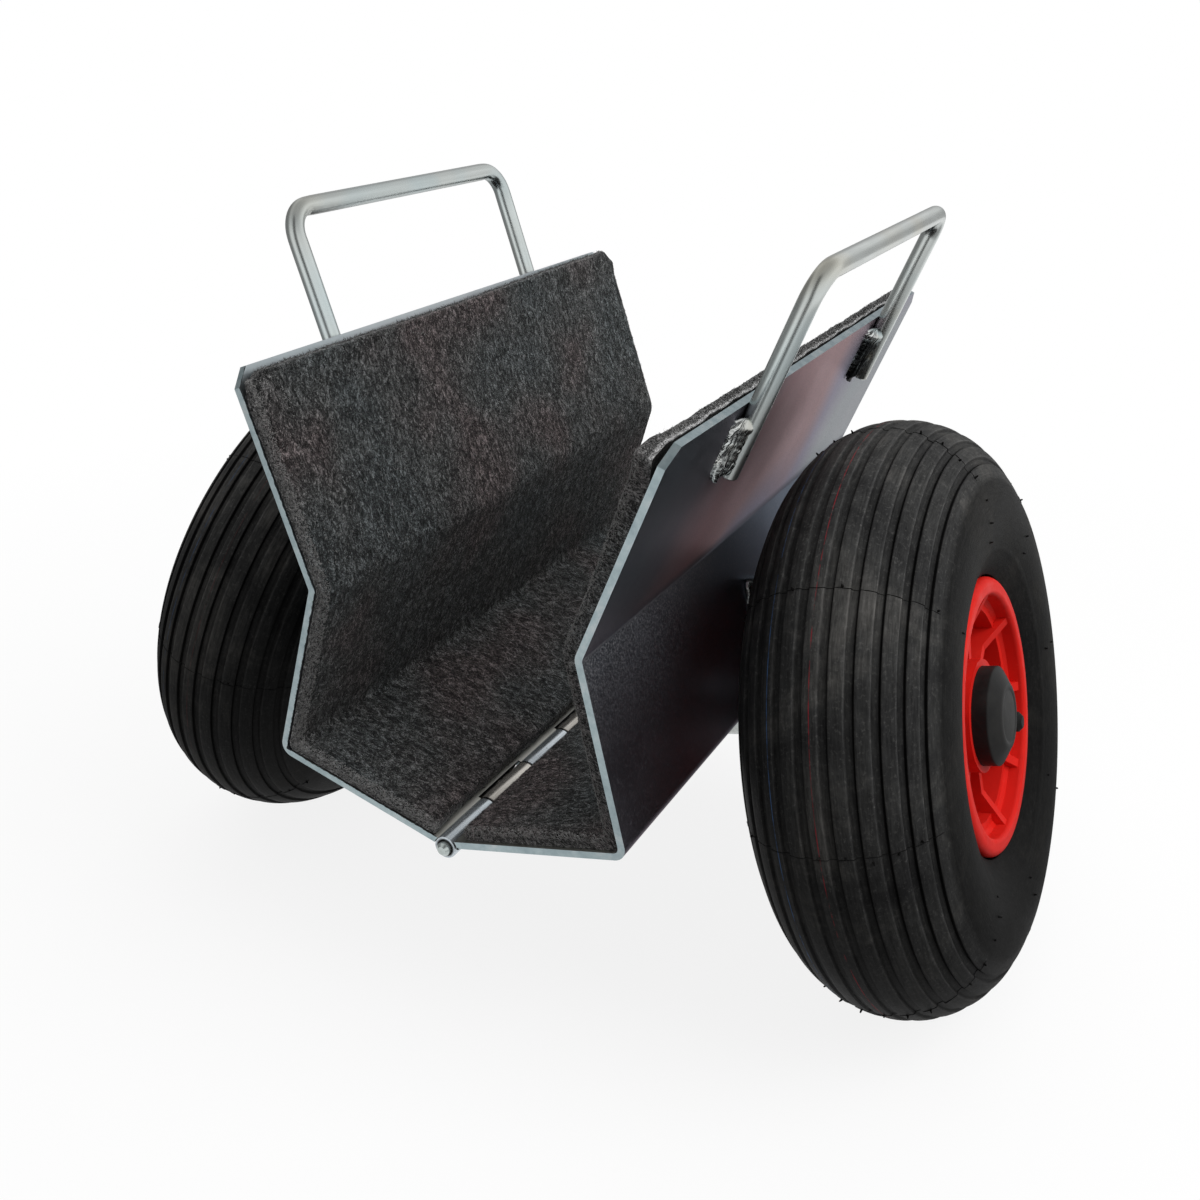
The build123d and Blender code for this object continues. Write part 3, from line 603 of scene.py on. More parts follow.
def tyre_rubber(name, lines=()):
    """Black tyre rubber: brown dust, painted shade on the groove floors and steep walls and painted highlights on the
    rib edges from the tread's tone, painted light that makes it lighter higher up and darker low down and towards
    its inner side, a fine grain, and thin broken marking lines round the tread. Each line has its place across the
    tread, its half width, its strength and its colour."""
    f = Finish(name, Specular_IOR_Level=0.035)
    place = f.place()
    dust = f.noise(place, 26.0, 5.0, 0.7, 0.6)
    colour = f.ramp(dust, (0.34, (0.0040, 0.0040, 0.0041)), (0.52, (0.0072, 0.0072, 0.0071)),
                    (0.72, (0.0165, 0.0159, 0.0150)))
    fine = f.noise(place, 620.0, 4.0, 0.75)
    colour = f.mix(f.spread(fine, 0.54, 0.74, 0.0, 0.5), colour, (0.025, 0.0245, 0.0235))
    rough = f.spread(dust, 0.3, 0.72, 0.50, 0.66)
    normal = f.bump(fine, 0.00014, 0.7)
    if lines:
        across = f.number("across")
        turning = f.vector(across, f.number("ahead"), f.number("over"))
        scuffs = f.spread(f.noise(turning, 1.0, 5.0, 0.72, 0.3), 0.34, 0.68, 0.75, 1.6)
        # the tone: painted shade in the grooves and painted highlights on the rib edges, under random scuffs
        colour = f.shaded(colour, f.times(f.number("tone"), scuffs))
        # painted light: lighter higher up, darker low down and towards the inner side
        height = f.axes(place)["Z"]
        painted_light = f.times(f.spread(height, 0.04, 0.24, 0.66, 1.35), f.spread(across, -70.0, 0.0, 0.4, 1.05))
        colour = f.shaded(colour, painted_light)
        worn = f.spread(f.noise(place, 90.0, 4.0, 0.75), 0.40, 0.58, 0.0, 1.0)
        for middle, half, strength, paint in lines:
            offset = f.size(f.minus(across, middle))
            line = f.times(f.spread(offset, half, half * 1.6, strength, 0.0), worn)
            colour = f.mix(line, colour, paint)
        normal = f.bump(scuffs, 0.00010, 0.5, normal)
    return f.done(colour, rough, normal)


def red_plastic(name):
    """Moulded red plastic: slight flow marks, rubbed paler patches and a fine orange-peel skin."""
    f = Finish(name, Specular_IOR_Level=0.10)
    place = f.place()
    flow = f.noise(place, 16.0, 3.0, 0.55, 1.4)
    colour = f.ramp(flow, (0.3, (0.62, 0.014, 0.010)), (0.55, (0.70, 0.018, 0.012)), (0.8, (0.74, 0.028, 0.020)))
    rubs = f.spread(f.noise(place, 240.0, 5.0, 0.75), 0.62, 0.8, 0.0, 0.4)
    colour = f.mix(rubs, colour, (0.80, 0.12, 0.10))
    rough = f.spread(f.noise(place, 90.0, 4.0, 0.7), 0.3, 0.7, 0.42, 0.58)
    return f.done(colour, rough, f.bump(f.noise(place, 520.0, 2.0), 0.00006, 0.5))


def dark_moulding(name, colour, dusty, rough_range=(0.40, 0.58), grain=900.0):
    """Dark plastic or rubber with a fine spark-eroded grain and dusty patches."""
    f = Finish(name, Specular_IOR_Level=0.13)
    place = f.place()
    dust = f.noise(place, 70.0, 5.0, 0.7, 0.4)
    tone = f.mix(f.spread(dust, 0.42, 0.75), colour, dusty)
    skin = f.noise(place, grain, 2.0)
    rough = f.spread(dust, 0.3, 0.7, *rough_range)
    return f.done(tone, rough, f.bump(skin, 0.00006, 0.6))


# ---------------------------------------------------------------- tyres and caps

def tyre_profile():
    """The tyre's closed section as (out along the axle, radius), the distance round the outside from the crown, a
    tone, and the outside alone. The outside is a circle of TYRE_ROUND about TYRE_MIDDLE, from the rim's lip on one
    side over the crown to the other; each groove sinks it by a trapezium with one steep and one sloping wall, each
    rib is slightly crowned, and a low ring stands on each sidewall. The tone is painted light: it lightens the tread
    against the sidewalls, paints shade at the steep walls and groove floors, and paints highlights on the ribs' other
    edges. Beads and the inside of the carcass close the section."""
    middles = np.radians((np.arange(TREAD_GROOVES) - (TREAD_GROOVES - 1) / 2) * TREAD_PITCH) * TYRE_ROUND
    edge = 0.62 * GROOVE_WIDTH
    near = edge * np.array([-1.5, -1.25, -1.1, -1.0, -0.9, -0.75, -0.6, 0.0,
                            0.6, 0.75, 0.84, 0.92, 1.0, 1.1, 1.25, 1.5])
    limit = math.radians(LIP_ANGLE) * TYRE_ROUND
    ring_at = math.radians(SIDE_RING_ANGLE) * TYRE_ROUND
    ring_near = np.linspace(-2.4, 2.4, 11)
    arc = np.unique(np.round(np.r_[
        (middles[:, None] + near).ravel(), np.linspace(-limit, limit, 101), ring_at + ring_near, -ring_at + ring_near,
    ], 3))
    arc = arc[np.r_[True, np.diff(arc) > 0.06]]
    apart = arc - middles[np.abs(arc[:, None] - middles).argmin(1)]
    nearest = np.abs(apart)
    sunk = rising(edge - nearest, np.where(apart > 0, 0.12, 0.4) * edge)
    sunk = sunk * sunk * (3 - 2 * sunk)
    rib = math.radians(TREAD_PITCH) * TYRE_ROUND
    tread = rising(np.abs(middles).max() + rib - np.abs(arc), 0.3 * rib)
    crown = RIB_CROWN * tread * (1 - ((rib / 2 - nearest) / (rib / 2 - edge)).clip(-1, 1) ** 4) * (nearest > edge)
    ring = np.exp(-((np.abs(arc) - ring_at) / RING_WIDTH) ** 2)
    lift = RING_HEIGHT * ring - 0.85 * GROOVE_DEPTH * sunk - TREAD_DROP * tread + crown
    angle = arc / TYRE_ROUND
    outside = np.stack([np.sin(angle) * (TYRE_ROUND + lift), TYRE_MIDDLE + np.cos(angle) * (TYRE_ROUND + lift)], 1)
    inner = TYRE_ROUND - TYRE_WALL
    sweep = np.pi - math.asin(BEAD_HEEL / inner)
    back = np.linspace(sweep, -sweep, 40)
    inside = np.stack([np.sin(back) * inner, TYRE_MIDDLE + np.cos(back) * inner], 1)
    toe = np.array([[BEAD_HEEL, BEAD_LIP], [BEAD_HEEL, BEAD_SEAT], [BEAD_TOE, BEAD_SEAT], [BEAD_TOE, BEAD_SEAT + 6.0]])
    section = np.concatenate([outside, toe, inside, (toe * [-1, 1])[::-1]])
    # painted light: the tread lightened, painted shade at the steep walls and groove floors, painted highlights on the
    # ribs' other edges
    shade = np.interp(apart / edge, [-1.7, -1.3, -1.1, -0.98, -0.8, -0.6, 0.0, 0.65, 0.8, 0.98, 1.1, 1.3, 1.7],
                      [3.1, 3.5, 5.4, 3.9, 1.9, 2.3, 2.5, 1.7, 0.3, 0.3, 2.1, 3.1, 3.1])
    shade = 1 + (shade - 1) * tread
    unseen = len(section) - len(arc)
    return section, np.r_[arc, np.full(unseen, OFF_TREAD)], np.r_[shade, np.ones(unseen)], outside


def tyre(side, turns=232):
    """The tyre's section carried once round the axle. It carries its place round the wheel, shortened ten times,
    so that scuffs run round the tread."""
    section, across, tone, _ = tyre_profile()
    angle = circle(turns)[:, None]
    shortened = (TYRE_MIDDLE + TYRE_ROUND) / 10
    turned = {"ahead": shortened * np.sin(angle), "over": shortened * np.cos(angle)}
    points = on_wheel(side, section[:, 0], section[:, 1], angle)
    return shell(points, rows_closed=True, across=across, tone=tone, **turned)


def moulding_marks(side, seed, share, lengths):
    """What the mould leaves on a tyre: eight thin uneven ridges across the tread, each a low three-sided section
    carried along the tyre's outside, and some short tapered vent stubs on the ribs and sidewalls."""
    outside = tyre_profile()[-1]
    _, square = headings(np.gradient(outside, axis=0))
    within = (np.abs(outside[:, 0]) < MOULD_REACH) & (outside[:, 1] > MOULD_FOOT)
    path, square = outside[within], square[within]
    lines = np.radians(np.arange(MOULD_LINES) * 360.0 / MOULD_LINES + 1.5)
    shells = []
    spread = np.array([-0.4, 0.0, 0.4])
    _, across = measured(path)
    foot = np.full(len(path), -0.25)
    for k, line in enumerate(lines):
        crest = 0.15 + 0.22 * np.abs(waves(seed + k, 9, 2.2, across))
        lift = np.stack([foot, crest, foot], 1)
        spot = path[:, None, :] + square[:, None, :] * lift[..., None]
        angle = line + (spread + 0.3 * waves(seed + 20 + k, 7, 4.0, across)[:, None]) / spot[..., 1]
        shells.append(shell(on_wheel(side, spot[..., 0], spot[..., 1], angle)))
    draw = np.random.default_rng(seed)
    at = np.radians(np.r_[np.arange(-5, 6) * TREAD_PITCH, -79.0, 79.0, 92.0, -92.0, 103.0, -103.0])
    for line in lines:
        for place in at[draw.random(len(at)) < share]:
            stub = vent_stub(side, place, line + draw.normal() * 0.006, draw.uniform(*lengths), draw.normal(size=2))
            reach = stub["points"].min(0), stub["points"].max(0)
            if (reach[0] > CAD_BOX[0]).all() and (reach[1] < CAD_BOX[1]).all():
                shells.append(stub)
    return joined(shells)


def vent_stub(side, place, line, length, lean):
    """A tapered round stub, square to the tyre's outside, leaning a little: rings of six points."""
    ring = circle(6)[None, :]
    lean = 0.18 * lean
    height = np.array([-0.4, 0.4 * length, length])[:, None]
    radius = np.array([0.55, 0.45, 0.28])[:, None]
    reach = TYRE_ROUND + height
    over = radius * np.cos(ring) + lean[0] * height
    out = np.sin(place) * reach + np.cos(place) * over
    rise = TYRE_MIDDLE + np.cos(place) * reach - np.sin(place) * over
    angle = line + (radius * np.sin(ring) + lean[1] * height) / rise
    return shell(on_wheel(side, out, rise, angle))


def hub_cap(side, turns=72):
    """A cap's section turned about the axle: a straight skirt, a bevel with eased edges, and a round face with a
    shallow ring sunk in it."""
    angle = circle(turns)[None, :]
    return shell(on_wheel(side, CAP_SECTION[:, :1], CAP_SECTION[:, 1:], angle))


# ---------------------------------------------------------------- felt

def felt_lines():
    """The felt's glued line and its open face as two matching lines in the leaf frame: flange, fold, lower
    wall, waist and upper wall, each corner with its own radius, softer on the open face."""
    end = TOP - WALL_UP * FELT_INSET
    outer = shifted([(FELT_TO_HINGE, 0), (FLANGE, 0), (FLANGE, LOWER_WALL), tuple(end)], SHEET)
    ease = 1 - np.cos(np.linspace(0, np.pi / 2, 7))
    fine = np.r_[ease * 0.03, np.linspace(0.055, 1, 34)]
    spacings = [fine, np.linspace(0, 1, 36), 1 - fine[::-1]]
    face = shifted(outer, FELT)
    glued = rounded_line(outer, [BEND_RADIUS, BEND_RADIUS + SHEET], spacings, 8)
    opened = rounded_line(face, [FACE_FOLD_RADIUS, FACE_WAIST_RADIUS], spacings, 8)
    return glued, opened


def felt_lining(side, seed):
    """A folded pad: the glued line and the open face carried along the hinge. The face is eased towards every
    cut edge by a quarter round and lifted by a smooth random field, the cut edges wander a little, the pad comes
    off the plate along the top, and the upper corners are cut off. The left pad comes closer to the knuckles and to
    both ends, lies lower under the plate's edge, is rounder at its front end and has one loose upper corner; the
    right pad stops short of the knuckles, and its whole front upper corner peels off the plate. The upper walls are
    pressed flat where the two pads meet when the jaws close."""
    glued, opened = felt_lines()
    count = len(glued)
    _, run = measured(opened)
    half = PLATE_LENGTH / 2 - FELT_INSET
    ease = half * (1 - 0.034 * (1 - np.cos(np.linspace(0, np.pi / 2, 9))))
    y = np.unique(np.r_[-ease, np.linspace(-0.96, 0.96, 116) * half, ease])[:, None]

    def eased(distance, radius=FELT_ROUND):
        """How far a quarter round has dropped at a distance from the edge, as a share of its radius."""
        return 1 - np.sqrt(np.clip(1 - (1 - rising(distance, radius)) ** 2, 0, 1))

    run2 = np.r_[run, run[::-1]][None, :]
    below_top, below_top2 = run[-1] - run, run[-1] - run2
    to_edge, to_end = np.minimum(run, below_top)[None, :], half - np.abs(y)
    left_front = (side < 0) & (y < 0)
    at_ends = np.where(left_front, FRONT_SINK * eased(to_end, FRONT_ROUND), FELT_SINK * eased(to_end))
    edge = np.clip(FELT_SINK * eased(to_edge) + at_ends, 0, 0.5)
    lift = waves(seed, 26, 5.0, run[None, :], y) * 0.04
    near_top = fading(below_top, PALE_TOP)
    loose = fading(below_top, LOOSE_TOP) * np.clip(0.36 + 0.14 * waves(seed + 4, 14, 6.0, y), 0.1, 1)
    face = glued + (opened - glued) * (1 - edge + lift + 0.6 * loose)[..., None]
    back = glued + (opened - glued) * (0.02 + loose + 0.1 * fading(y + half, LOOSE_FRONT) * (side < 0))[..., None]
    loop = np.concatenate([face, back[:, ::-1]], axis=1)
    front = (y + half) / (2 * half)
    corner = np.clip(CORNER_CUT - to_end, 0, None)
    corner = np.where(y < 0, (0.4 if side < 0 else 0.8) * corner, corner)
    start, low = 1.9, 0.0
    if side < 0:
        start = -1.3 - 0.4 * front - 1.2 * np.exp(-(y + half) ** 2 / 90)
        low = 1.3 * rising(0.8 - front, 0.3) - 1.5 * np.exp(-((y - half + CORNER_CUT) / 2.2) ** 2)
    start = start + 0.45 * waves(seed + 2, 14, 6.0, y)
    cut = corner + 0.45 * waves(seed + 1, 14, 3.0, y) + 0.3 + low
    loop = loop - WALL_UP * (cut * fading(below_top2, TOP_REACH))[..., None]
    loop = loop + np.array([1.0, 0.0]) * (start * fading(run2, HINGE_REACH))[..., None]
    wander = (np.where(y < 0, -1.4, -2.2) if side < 0 else 0.25) + 0.4 * waves(seed + 3, 14, 5.0, run2)
    width = y - np.sign(y) * wander * fading(to_end, END_REACH)
    peel = FELT_PEEL * np.exp(-((y + half) / PEEL_WIDTH) ** 2 - (below_top2 / PEEL_HEIGHT) ** 2)
    room = 0.1 + (0.8 * peel if side < 0 else 0)
    pressed = np.clip(room - loop @ MEETING_OUT, 0, None) * rising(UPPER_REACH - below_top2, 10)
    loop = loop + WALL_OUT * pressed[..., None]
    if side > 0:
        loop = loop - WALL_OUT * (peel * np.r_[np.ones(count), np.full(count, 0.2)])[..., None]
    points = in_row(side, loop[..., 0], width, loop[..., 1])
    rows, columns = points.shape[:2]
    k = np.arange(count - 1)
    strip = np.stack([k, k + 1, columns - 2 - k, columns - 1 - k], -1)
    # how pale the cut faces are: partly open wool, partly painted light, palest along the top
    shut = 0.75 if side < 0 else 0.36
    pale_wool_and_light = shut + (1 - shut) * np.r_[near_top, near_top[::-1]]
    # painted shade: away from the cut edges the back's depth goes below zero, which darkens it
    painted_shade_share = rising(np.minimum(to_edge, to_end), 0.8)
    depth = np.concatenate([edge, 1 - 1.6 * painted_shade_share[:, ::-1]], axis=1) * pale_wool_and_light * FELT * MM
    values = {"along": run2 * MM, "across": width * MM, "depth": depth}
    made = {
        "points": points.reshape(-1, 3), "tris": np.zeros((0, 3), int),
        "values": {key: np.broadcast_to(v, (rows, columns)).ravel() for key, v in values.items()},
        "quads": np.concatenate([cells(rows, columns), strip, strip[:, ::-1] + (rows - 1) * columns]),
    }
    return outward(made), points[:, :count], points[:, count:][:, ::-1]


def felt_fibres(face, back, seed):
    """Loose wool fibres on a felt: many short ones that lie on its open face, mostly up the wall, and paler ones
    that stand out of its four cut edges, most of all along the front brim and furthest along the top."""
    draw = np.random.default_rng(seed)
    inside = np.array([0.0, 0.0, (HINGE_HEIGHT + 120.0) * MM])
    middle = face.reshape(-1, 3).mean(0)
    made = [fibres(face, FACE_FIBRES, draw, (0.9, 2.7), 0.17, 0.0, lambda spot: (inside - spot) * (1, 0, 1))]
    brim = face[0] * 0.72 + back[0] * 0.28
    top = face[:, -1] * 0.3 + back[:, -1] * 0.7
    edges = (
        ([face[:, -1], top], 3800, 0.5, 0.75), ([brim, *face[:6]], 3200, 0.85, 0.4), ([brim, back[0]], 1400, 0.25, 0.4),
        ([face[-1], back[-1]], 900, 0.2, 0.4), ([face[:, 0], back[:, 0]], 900, 0.2, 0.4),
    )
    for strips, count, pale, stand in edges:
        made.append(fibres(np.stack(strips), count, draw, (0.7, 2.0), stand, pale, lambda spot: spot - middle))
    return joined(made)


def fibres(grid, count, draw, lengths, stand, pale, away):
    """Fibres spread evenly over a grid by area. Each is a bent spindle: a point just under the surface, a ring of
    three points half way, and a point at its far end, which stands off by a random height. A field of smooth
    waves turns neighbours the same way."""
    a, b, c, d = grid[:-1, :-1], grid[1:, :-1], grid[:-1, 1:], grid[1:, 1:]
    area = np.cumsum(np.linalg.norm(np.cross(b - a, c - a), axis=-1).ravel())
    pick = np.minimum(np.searchsorted(area, draw.random(count) * area[-1]), len(area) - 1)
    a, b, c, d = (corner.reshape(-1, 3)[pick] for corner in (a, b, c, d))
    u, v = draw.random((2, count, 1))
    spot = (a * (1 - u) + b * u) * (1 - v) + (c * (1 - u) + d * u) * v

    def unit(way):
        """Directions brought to length 1."""
        return way / (np.linalg.norm(way, axis=1)[:, None] + 1e-12)

    level, up = unit(b - a + d - c), unit(c - a + d - b)
    square = unit(np.cross(level, up))
    square = square * np.sign((square * away(spot)).sum(1))[:, None]
    heading = draw.normal(0, 1.0, count) + 0.7 * waves(7, 9, 5.0, *(spot.T / MM))
    heading = heading + np.pi * draw.integers(0, 2, count)
    flat = up * np.cos(heading)[:, None] + level * np.sin(heading)[:, None]
    aside = np.cross(square, flat)
    length = draw.uniform(*lengths, (count, 1)) * MM
    height = np.abs(draw.normal(0, stand, (count, 1))) * MM
    bend = draw.normal(0, 0.24, (count, 1)) * length
    begin = spot - square * 0.1 * MM - flat * length / 2
    halfway = spot + aside * bend + square * (0.06 * MM + 0.45 * height)
    end = spot + flat * length / 2 - aside * bend * 0.4 + square * height
    thick = draw.uniform(0.06, 0.15, (count, 1)) * MM
    ring = [halfway + thick * (aside * math.cos(turn) + square * math.sin(turn)) for turn in (0.0, 2.0944, 4.18879)]
    points = np.stack([begin, *ring, end], 1).reshape(-1, 3)
    corners = np.array([[0, 2, 1], [0, 3, 2], [0, 1, 3], [4, 1, 2], [4, 2, 3], [4, 3, 1]])
    tris = (np.arange(count)[:, None, None] * 5 + corners).reshape(-1, 3)
    shade = np.repeat(pale + (1 - pale) * draw.random(count), 5)
    return outward({"points": points, "quads": np.zeros((0, 4), int), "tris": tris, "values": {"shade": shade}})


# ---------------------------------------------------------------- hinge

def knuckle_middle(k):
    """The place of a knuckle's middle along the hinge, counted from the front."""
    return (k + 0.5) * KNUCKLE_PITCH - PLATE_LENGTH / 2


def knuckles(side, first, around=44):
    """This half's hinge knuckles: a tube's section with eased rims, turned about the hinge axis at every second
    place along the hinge. Rims that meet another knuckle are marked near black, grease and painted shade in the joint."""
    half = (KNUCKLE_PITCH - KNUCKLE_GAP) / 2
    inwards, radius, grease_and_shade = KNUCKLE_RIM.T
    place = np.r_[inwards - half, half - inwards[::-1]][:, None]
    radius = np.r_[radius, radius[::-1]][:, None]
    bore = np.arange(len(grease_and_shade)) < 2
    angle = circle(around)[None, :]
    made = []
    for k in range(first, KNUCKLE_COUNT, 2):
        ends = [grease_and_shade if meets else grease_and_shade * bore for meets in (k > 0, k < KNUCKLE_COUNT - 1)]
        rim = np.r_[ends[0], ends[1][::-1]][:, None]
        spot = in_row(side, radius * np.sin(angle), knuckle_middle(k) + place, radius * np.cos(angle))
        made.append(shell(spot, rows_closed=True, rim=rim))
    return joined(made)


# ---------------------------------------------------------------- handles and welds

def handle_bar(side, around=32):
    """A round bar carried along a U: legs against the wall, two bends, ends cut square with a small chamfer.
    The bar is slightly flattened in its bends."""
    legs = HANDLE_SPAN / 2
    corners = [(-legs, -HANDLE_LAP), (-legs, HANDLE_RISE), (legs, HANDLE_RISE), (legs, -HANDLE_LAP)]
    line = rounded_line(corners, [HANDLE_BEND] * 2, [np.linspace(0, 1, count) for count in (26, 44, 26)], 16)
    line = line[np.r_[True, measured(line)[0] > 1e-6]]
    ahead, left = headings(np.gradient(line, axis=0))
    curve = np.linalg.norm(np.gradient(ahead, axis=0), axis=1)
    flat = 1 - 0.05 * np.clip(curve / curve.max() * 1.4, 0, 1)
    turn = circle(around)
    radius = np.full(len(line), BAR_RADIUS)
    line = np.r_[line[:1], line[:1], line, line[-1:], line[-1:]]
    for ring, step in ((1, 0.02), (2, BAR_CHAMFER)):
        line[ring] += ahead[0] * step
        line[-1 - ring] -= ahead[-1] * step
    end = np.array([0.6 * BAR_RADIUS, BAR_RADIUS - BAR_CHAMFER])
    radius = np.r_[end, radius, end[::-1]][:, None]
    left = np.r_[left[:1], left[:1], left, left[-1:], left[-1:]]
    flat = np.r_[1, 1, flat, 1, 1][:, None]
    sideways = radius * np.cos(turn) * flat
    outwards = BAR_RADIUS + radius * np.sin(turn)
    y = line[:, :1] + left[:, :1] * sideways
    up = line[:, 1:] + left[:, 1:] * sideways
    t = TOP[0] + up * WALL_UP[0] + outwards * WALL_OUT[0]
    h = TOP[1] + up * WALL_UP[1] + outwards * WALL_OUT[1]
    along = measured(line)[1][:, None] * MM
    return shell(in_row(side, t, y, h), along=along, cosine=np.cos(turn), sine=np.sin(turn))


def weld_bead(side, start, finish, lean, size, seed, blob=0.0, wide=1.12, silver=0.0, tail=0.0, steps=84, around=24):
    """A ragged bead between two leaf-frame places: an oval carried along a line, closed to a point at both ends,
    with faint ripples, sharp creases that run aslant and are strongest at its toes, and a larger lump where the arc
    stopped. Lean is the direction in which the bead stands proud; silver says how bare it is. A bead with a tail is a
    fillet: its toe on that side has small teeth, and is drawn out to a point at the start."""
    start, finish, lean = (np.asarray(v, float) for v in (start, finish, lean))
    ahead = finish - start
    length = np.linalg.norm(ahead)
    ahead = ahead / length
    lean = lean / np.linalg.norm(lean)
    aside = np.cross(ahead, lean)
    u = (1 - np.cos(np.linspace(0, np.pi, steps))) / 2
    u = (0.35 * u + 0.65 * np.linspace(0, 1, steps))[:, None]
    turn = circle(around)[None, :]
    ends = np.sqrt(np.clip(1 - np.abs(2 * u - 1) ** 7, 0.0004, 1))
    place = u * length
    toe = np.clip(tail * np.sin(turn), 0, 1)
    ripple = RIPPLE * np.sin(2 * np.pi * (place / RIPPLE_PITCH + 0.35 * np.cos(turn)) + 4 * waves(seed, 8, 4.0, place))
    oval = size * 1.5 * wide * np.sin(turn), size * 1.5 * np.cos(turn)
    aslant = place * 0.55 + 0.5 * tail * oval[0]
    creases = 0.6 - 1.5 * np.abs(waves(seed + 1, 12, 1.3, aslant, *oval))
    lumps = creases * (0.12 + 0.16 * np.sin(turn) ** 2)
    stop = blob * np.exp(-((place - length + STOP_FROM_END) / STOP_WIDTH) ** 2)
    radius = size * ends * (1 + ripple + lumps + stop)
    sway = 0.3 * size * waves(seed + 2, 10, 2.5, place)
    teeth = 1.3 * tail * toe ** 2 * ends * np.clip(1 - 1.6 * np.abs(waves(seed + 6, 8, 1.1, place)), 0, 1) ** 2
    narrow = wide * (1 - 0.55 * stop)
    sideways, proud = (radius * np.sin(turn) * narrow + sway + teeth)[..., None], (radius * np.cos(turn))[..., None]
    drawn = np.exp(-place / 5.0) * (3.4 * toe - 1.2 * np.abs(tail))
    spot = start + ahead * (place - drawn)[..., None] + aside * sideways + lean * proud
    bare = silver + 0.6 * stop - (0.1 + 0.08 * toe) * np.exp(-(place / 3.0) ** 2)
    return shell(in_row(side, spot[..., 0], spot[..., 1], spot[..., 2]), silver=bare, along=aslant * MM,
                 sine=oval[0] * MM, cosine=oval[1] * MM)


def handle_beads(side, seed):
    """Wide flat fillets along both sides of each handle leg, from the leg's crown down to the wall."""
    up = np.array([WALL_UP[0], 0, WALL_UP[1]])
    out = np.array([WALL_OUT[0], 0, WALL_OUT[1]])
    foot = np.array([TOP[0], 0, TOP[1]]) - up * (HANDLE_LAP + 0.4)
    made = []
    for k, leg in enumerate((-HANDLE_SPAN / 2, HANDLE_SPAN / 2)):
        for m, way in enumerate((-1.0, 1.0)):
            beside = np.array([0, leg + way * FILLET_ASIDE, 0]) + out * FILLET_OUT
            lean = out + np.array([0, way * 0.75, 0])
            start = foot + beside
            # the back leg's beads carry less silver than the front leg's, so they come out darker
            made.append(weld_bead(side, start, start + up * FILLET_LENGTH, lean, FILLET_SIZE, seed + 10 * k + 3 * m,
                                  0.4 + 0.2 * k, 2.75, 0.35 - 0.40 * k, way, 96, 36))
    return joined(made)


def axle_beads(side, seed):
    """Beads along the axle under the flange, up both sides of the gusset and along its foot."""
    runs = (
        ((26.0, 9.6, -2.5), (72.0, 9.6, -2.5), (0, 1, -0.7), 2.9, 0, 0.25, 0.12),
        ((85.3, 3.5, 11.5), (85.3, 3.5, 57.0), (1, 1, 0), 2.2, 5, 0.3, 0.2),
        ((94.0, 3.6, -1.0), (110.0, 3.6, -1.0), (0, 1, 0.5), 2.2, 9, 0.2, 0.0),
    )
    made = []
    for k, mirror in enumerate(np.array([(1.0, -1.0, 1.0), (1.0, 1.0, 1.0)])):
        for *places, size, more, blob, silver in runs:
            start, finish, lean = (place * mirror for place in places)
            made.append(weld_bead(side, start, finish, lean, size, seed + 20 * k + more, blob, silver=silver))
    return joined(made)


def hinge_beads(side, first, seed):
    """Short beads under the flange's edge at this half's own knuckles, and a thin black run along the edge of each
    slot in which the other half's knuckle turns, a dark strip that stands for grease and painted shade in the slot."""
    bead = (5.7, 10.5, -1.1), (0.6, 0, -1), 1.5, 0.2, 0.0, 16
    # the run is a black strip of grease and painted shade along the slot
    run = (6.4, 17.4, -0.1), (0, 0, 1), 0.85, 0.0, -0.4, 12
    made = []
    for k in range(KNUCKLE_COUNT):
        (out, reach, high), lean, size, blob, silver, around = bead if k % 2 == first else run
        start, finish = ((out, knuckle_middle(k) + way * reach, high) for way in (-1, 1))
        made.append(weld_bead(side, start, finish, lean, size, seed + 7 * k, blob, silver=silver, steps=40,
                              around=around))
    return joined(made)


# ---------------------------------------------------------------- the dolly

FINISHES = {
    "zinc_bar": zinc_bar("drawn_zinc_bar"),
    "bar": drawn_bar("drawn_handle_bar"),
    "pin": zinc_bar("pale_hinge_pin", (0.58, 0.64, 0.63), (0.47, 0.52, 0.51), (0.55, 0.56, 0.50), 0.85),
    "left_knuckles": zinc_bar("bright_knuckles", (0.68, 0.74, 0.79), (0.48, 0.53, 0.57), (0.60, 0.61, 0.59), 0.85),
    "right_knuckles": zinc_bar("warm_knuckles", (0.68, 0.65, 0.60), (0.48, 0.455, 0.415), (0.62, 0.56, 0.45), 0.85),
    "weld": weld_metal("plated_weld"),
    "felt": felt_cloth("wool_felt"),
    "fibre": felt_fibre("wool_fibres"),
    "left_tyre": tyre_rubber("left_tyre_rubber", (
        (18.6, 0.15, 0.5, (0.05, 0.11, 0.24)), (0.0, 0.14, 0.12, (0.30, 0.02, 0.03)))),
    "right_tyre": tyre_rubber("right_tyre_rubber", (
        (-18.6, 0.15, 0.95, (0.05, 0.11, 0.24)), (0.0, 0.14, 0.75, (0.28, 0.016, 0.026)))),
    "marks": tyre_rubber("moulding_rubber"),
    "red": red_plastic("red_rim_plastic"),
    "cap": dark_moulding("cap_plastic", (0.0095, 0.0095, 0.0095), (0.022, 0.022, 0.021)),
    "valve": dark_moulding("valve_rubber", (0.007, 0.007, 0.007), (0.016, 0.0155, 0.015), (0.5, 0.7)),
    "tube": dark_moulding("tube_rubber", (0.012, 0.012, 0.012), (0.030, 0.029, 0.028), (0.55, 0.75)),
    "nylon": dark_moulding("bush_nylon", (0.62, 0.60, 0.55), (0.50, 0.48, 0.42), (0.4, 0.55)),
    "spring": zinc_bar("spring_steel", (0.30, 0.30, 0.31), (0.16, 0.16, 0.17), (0.28, 0.24, 0.18)),
}

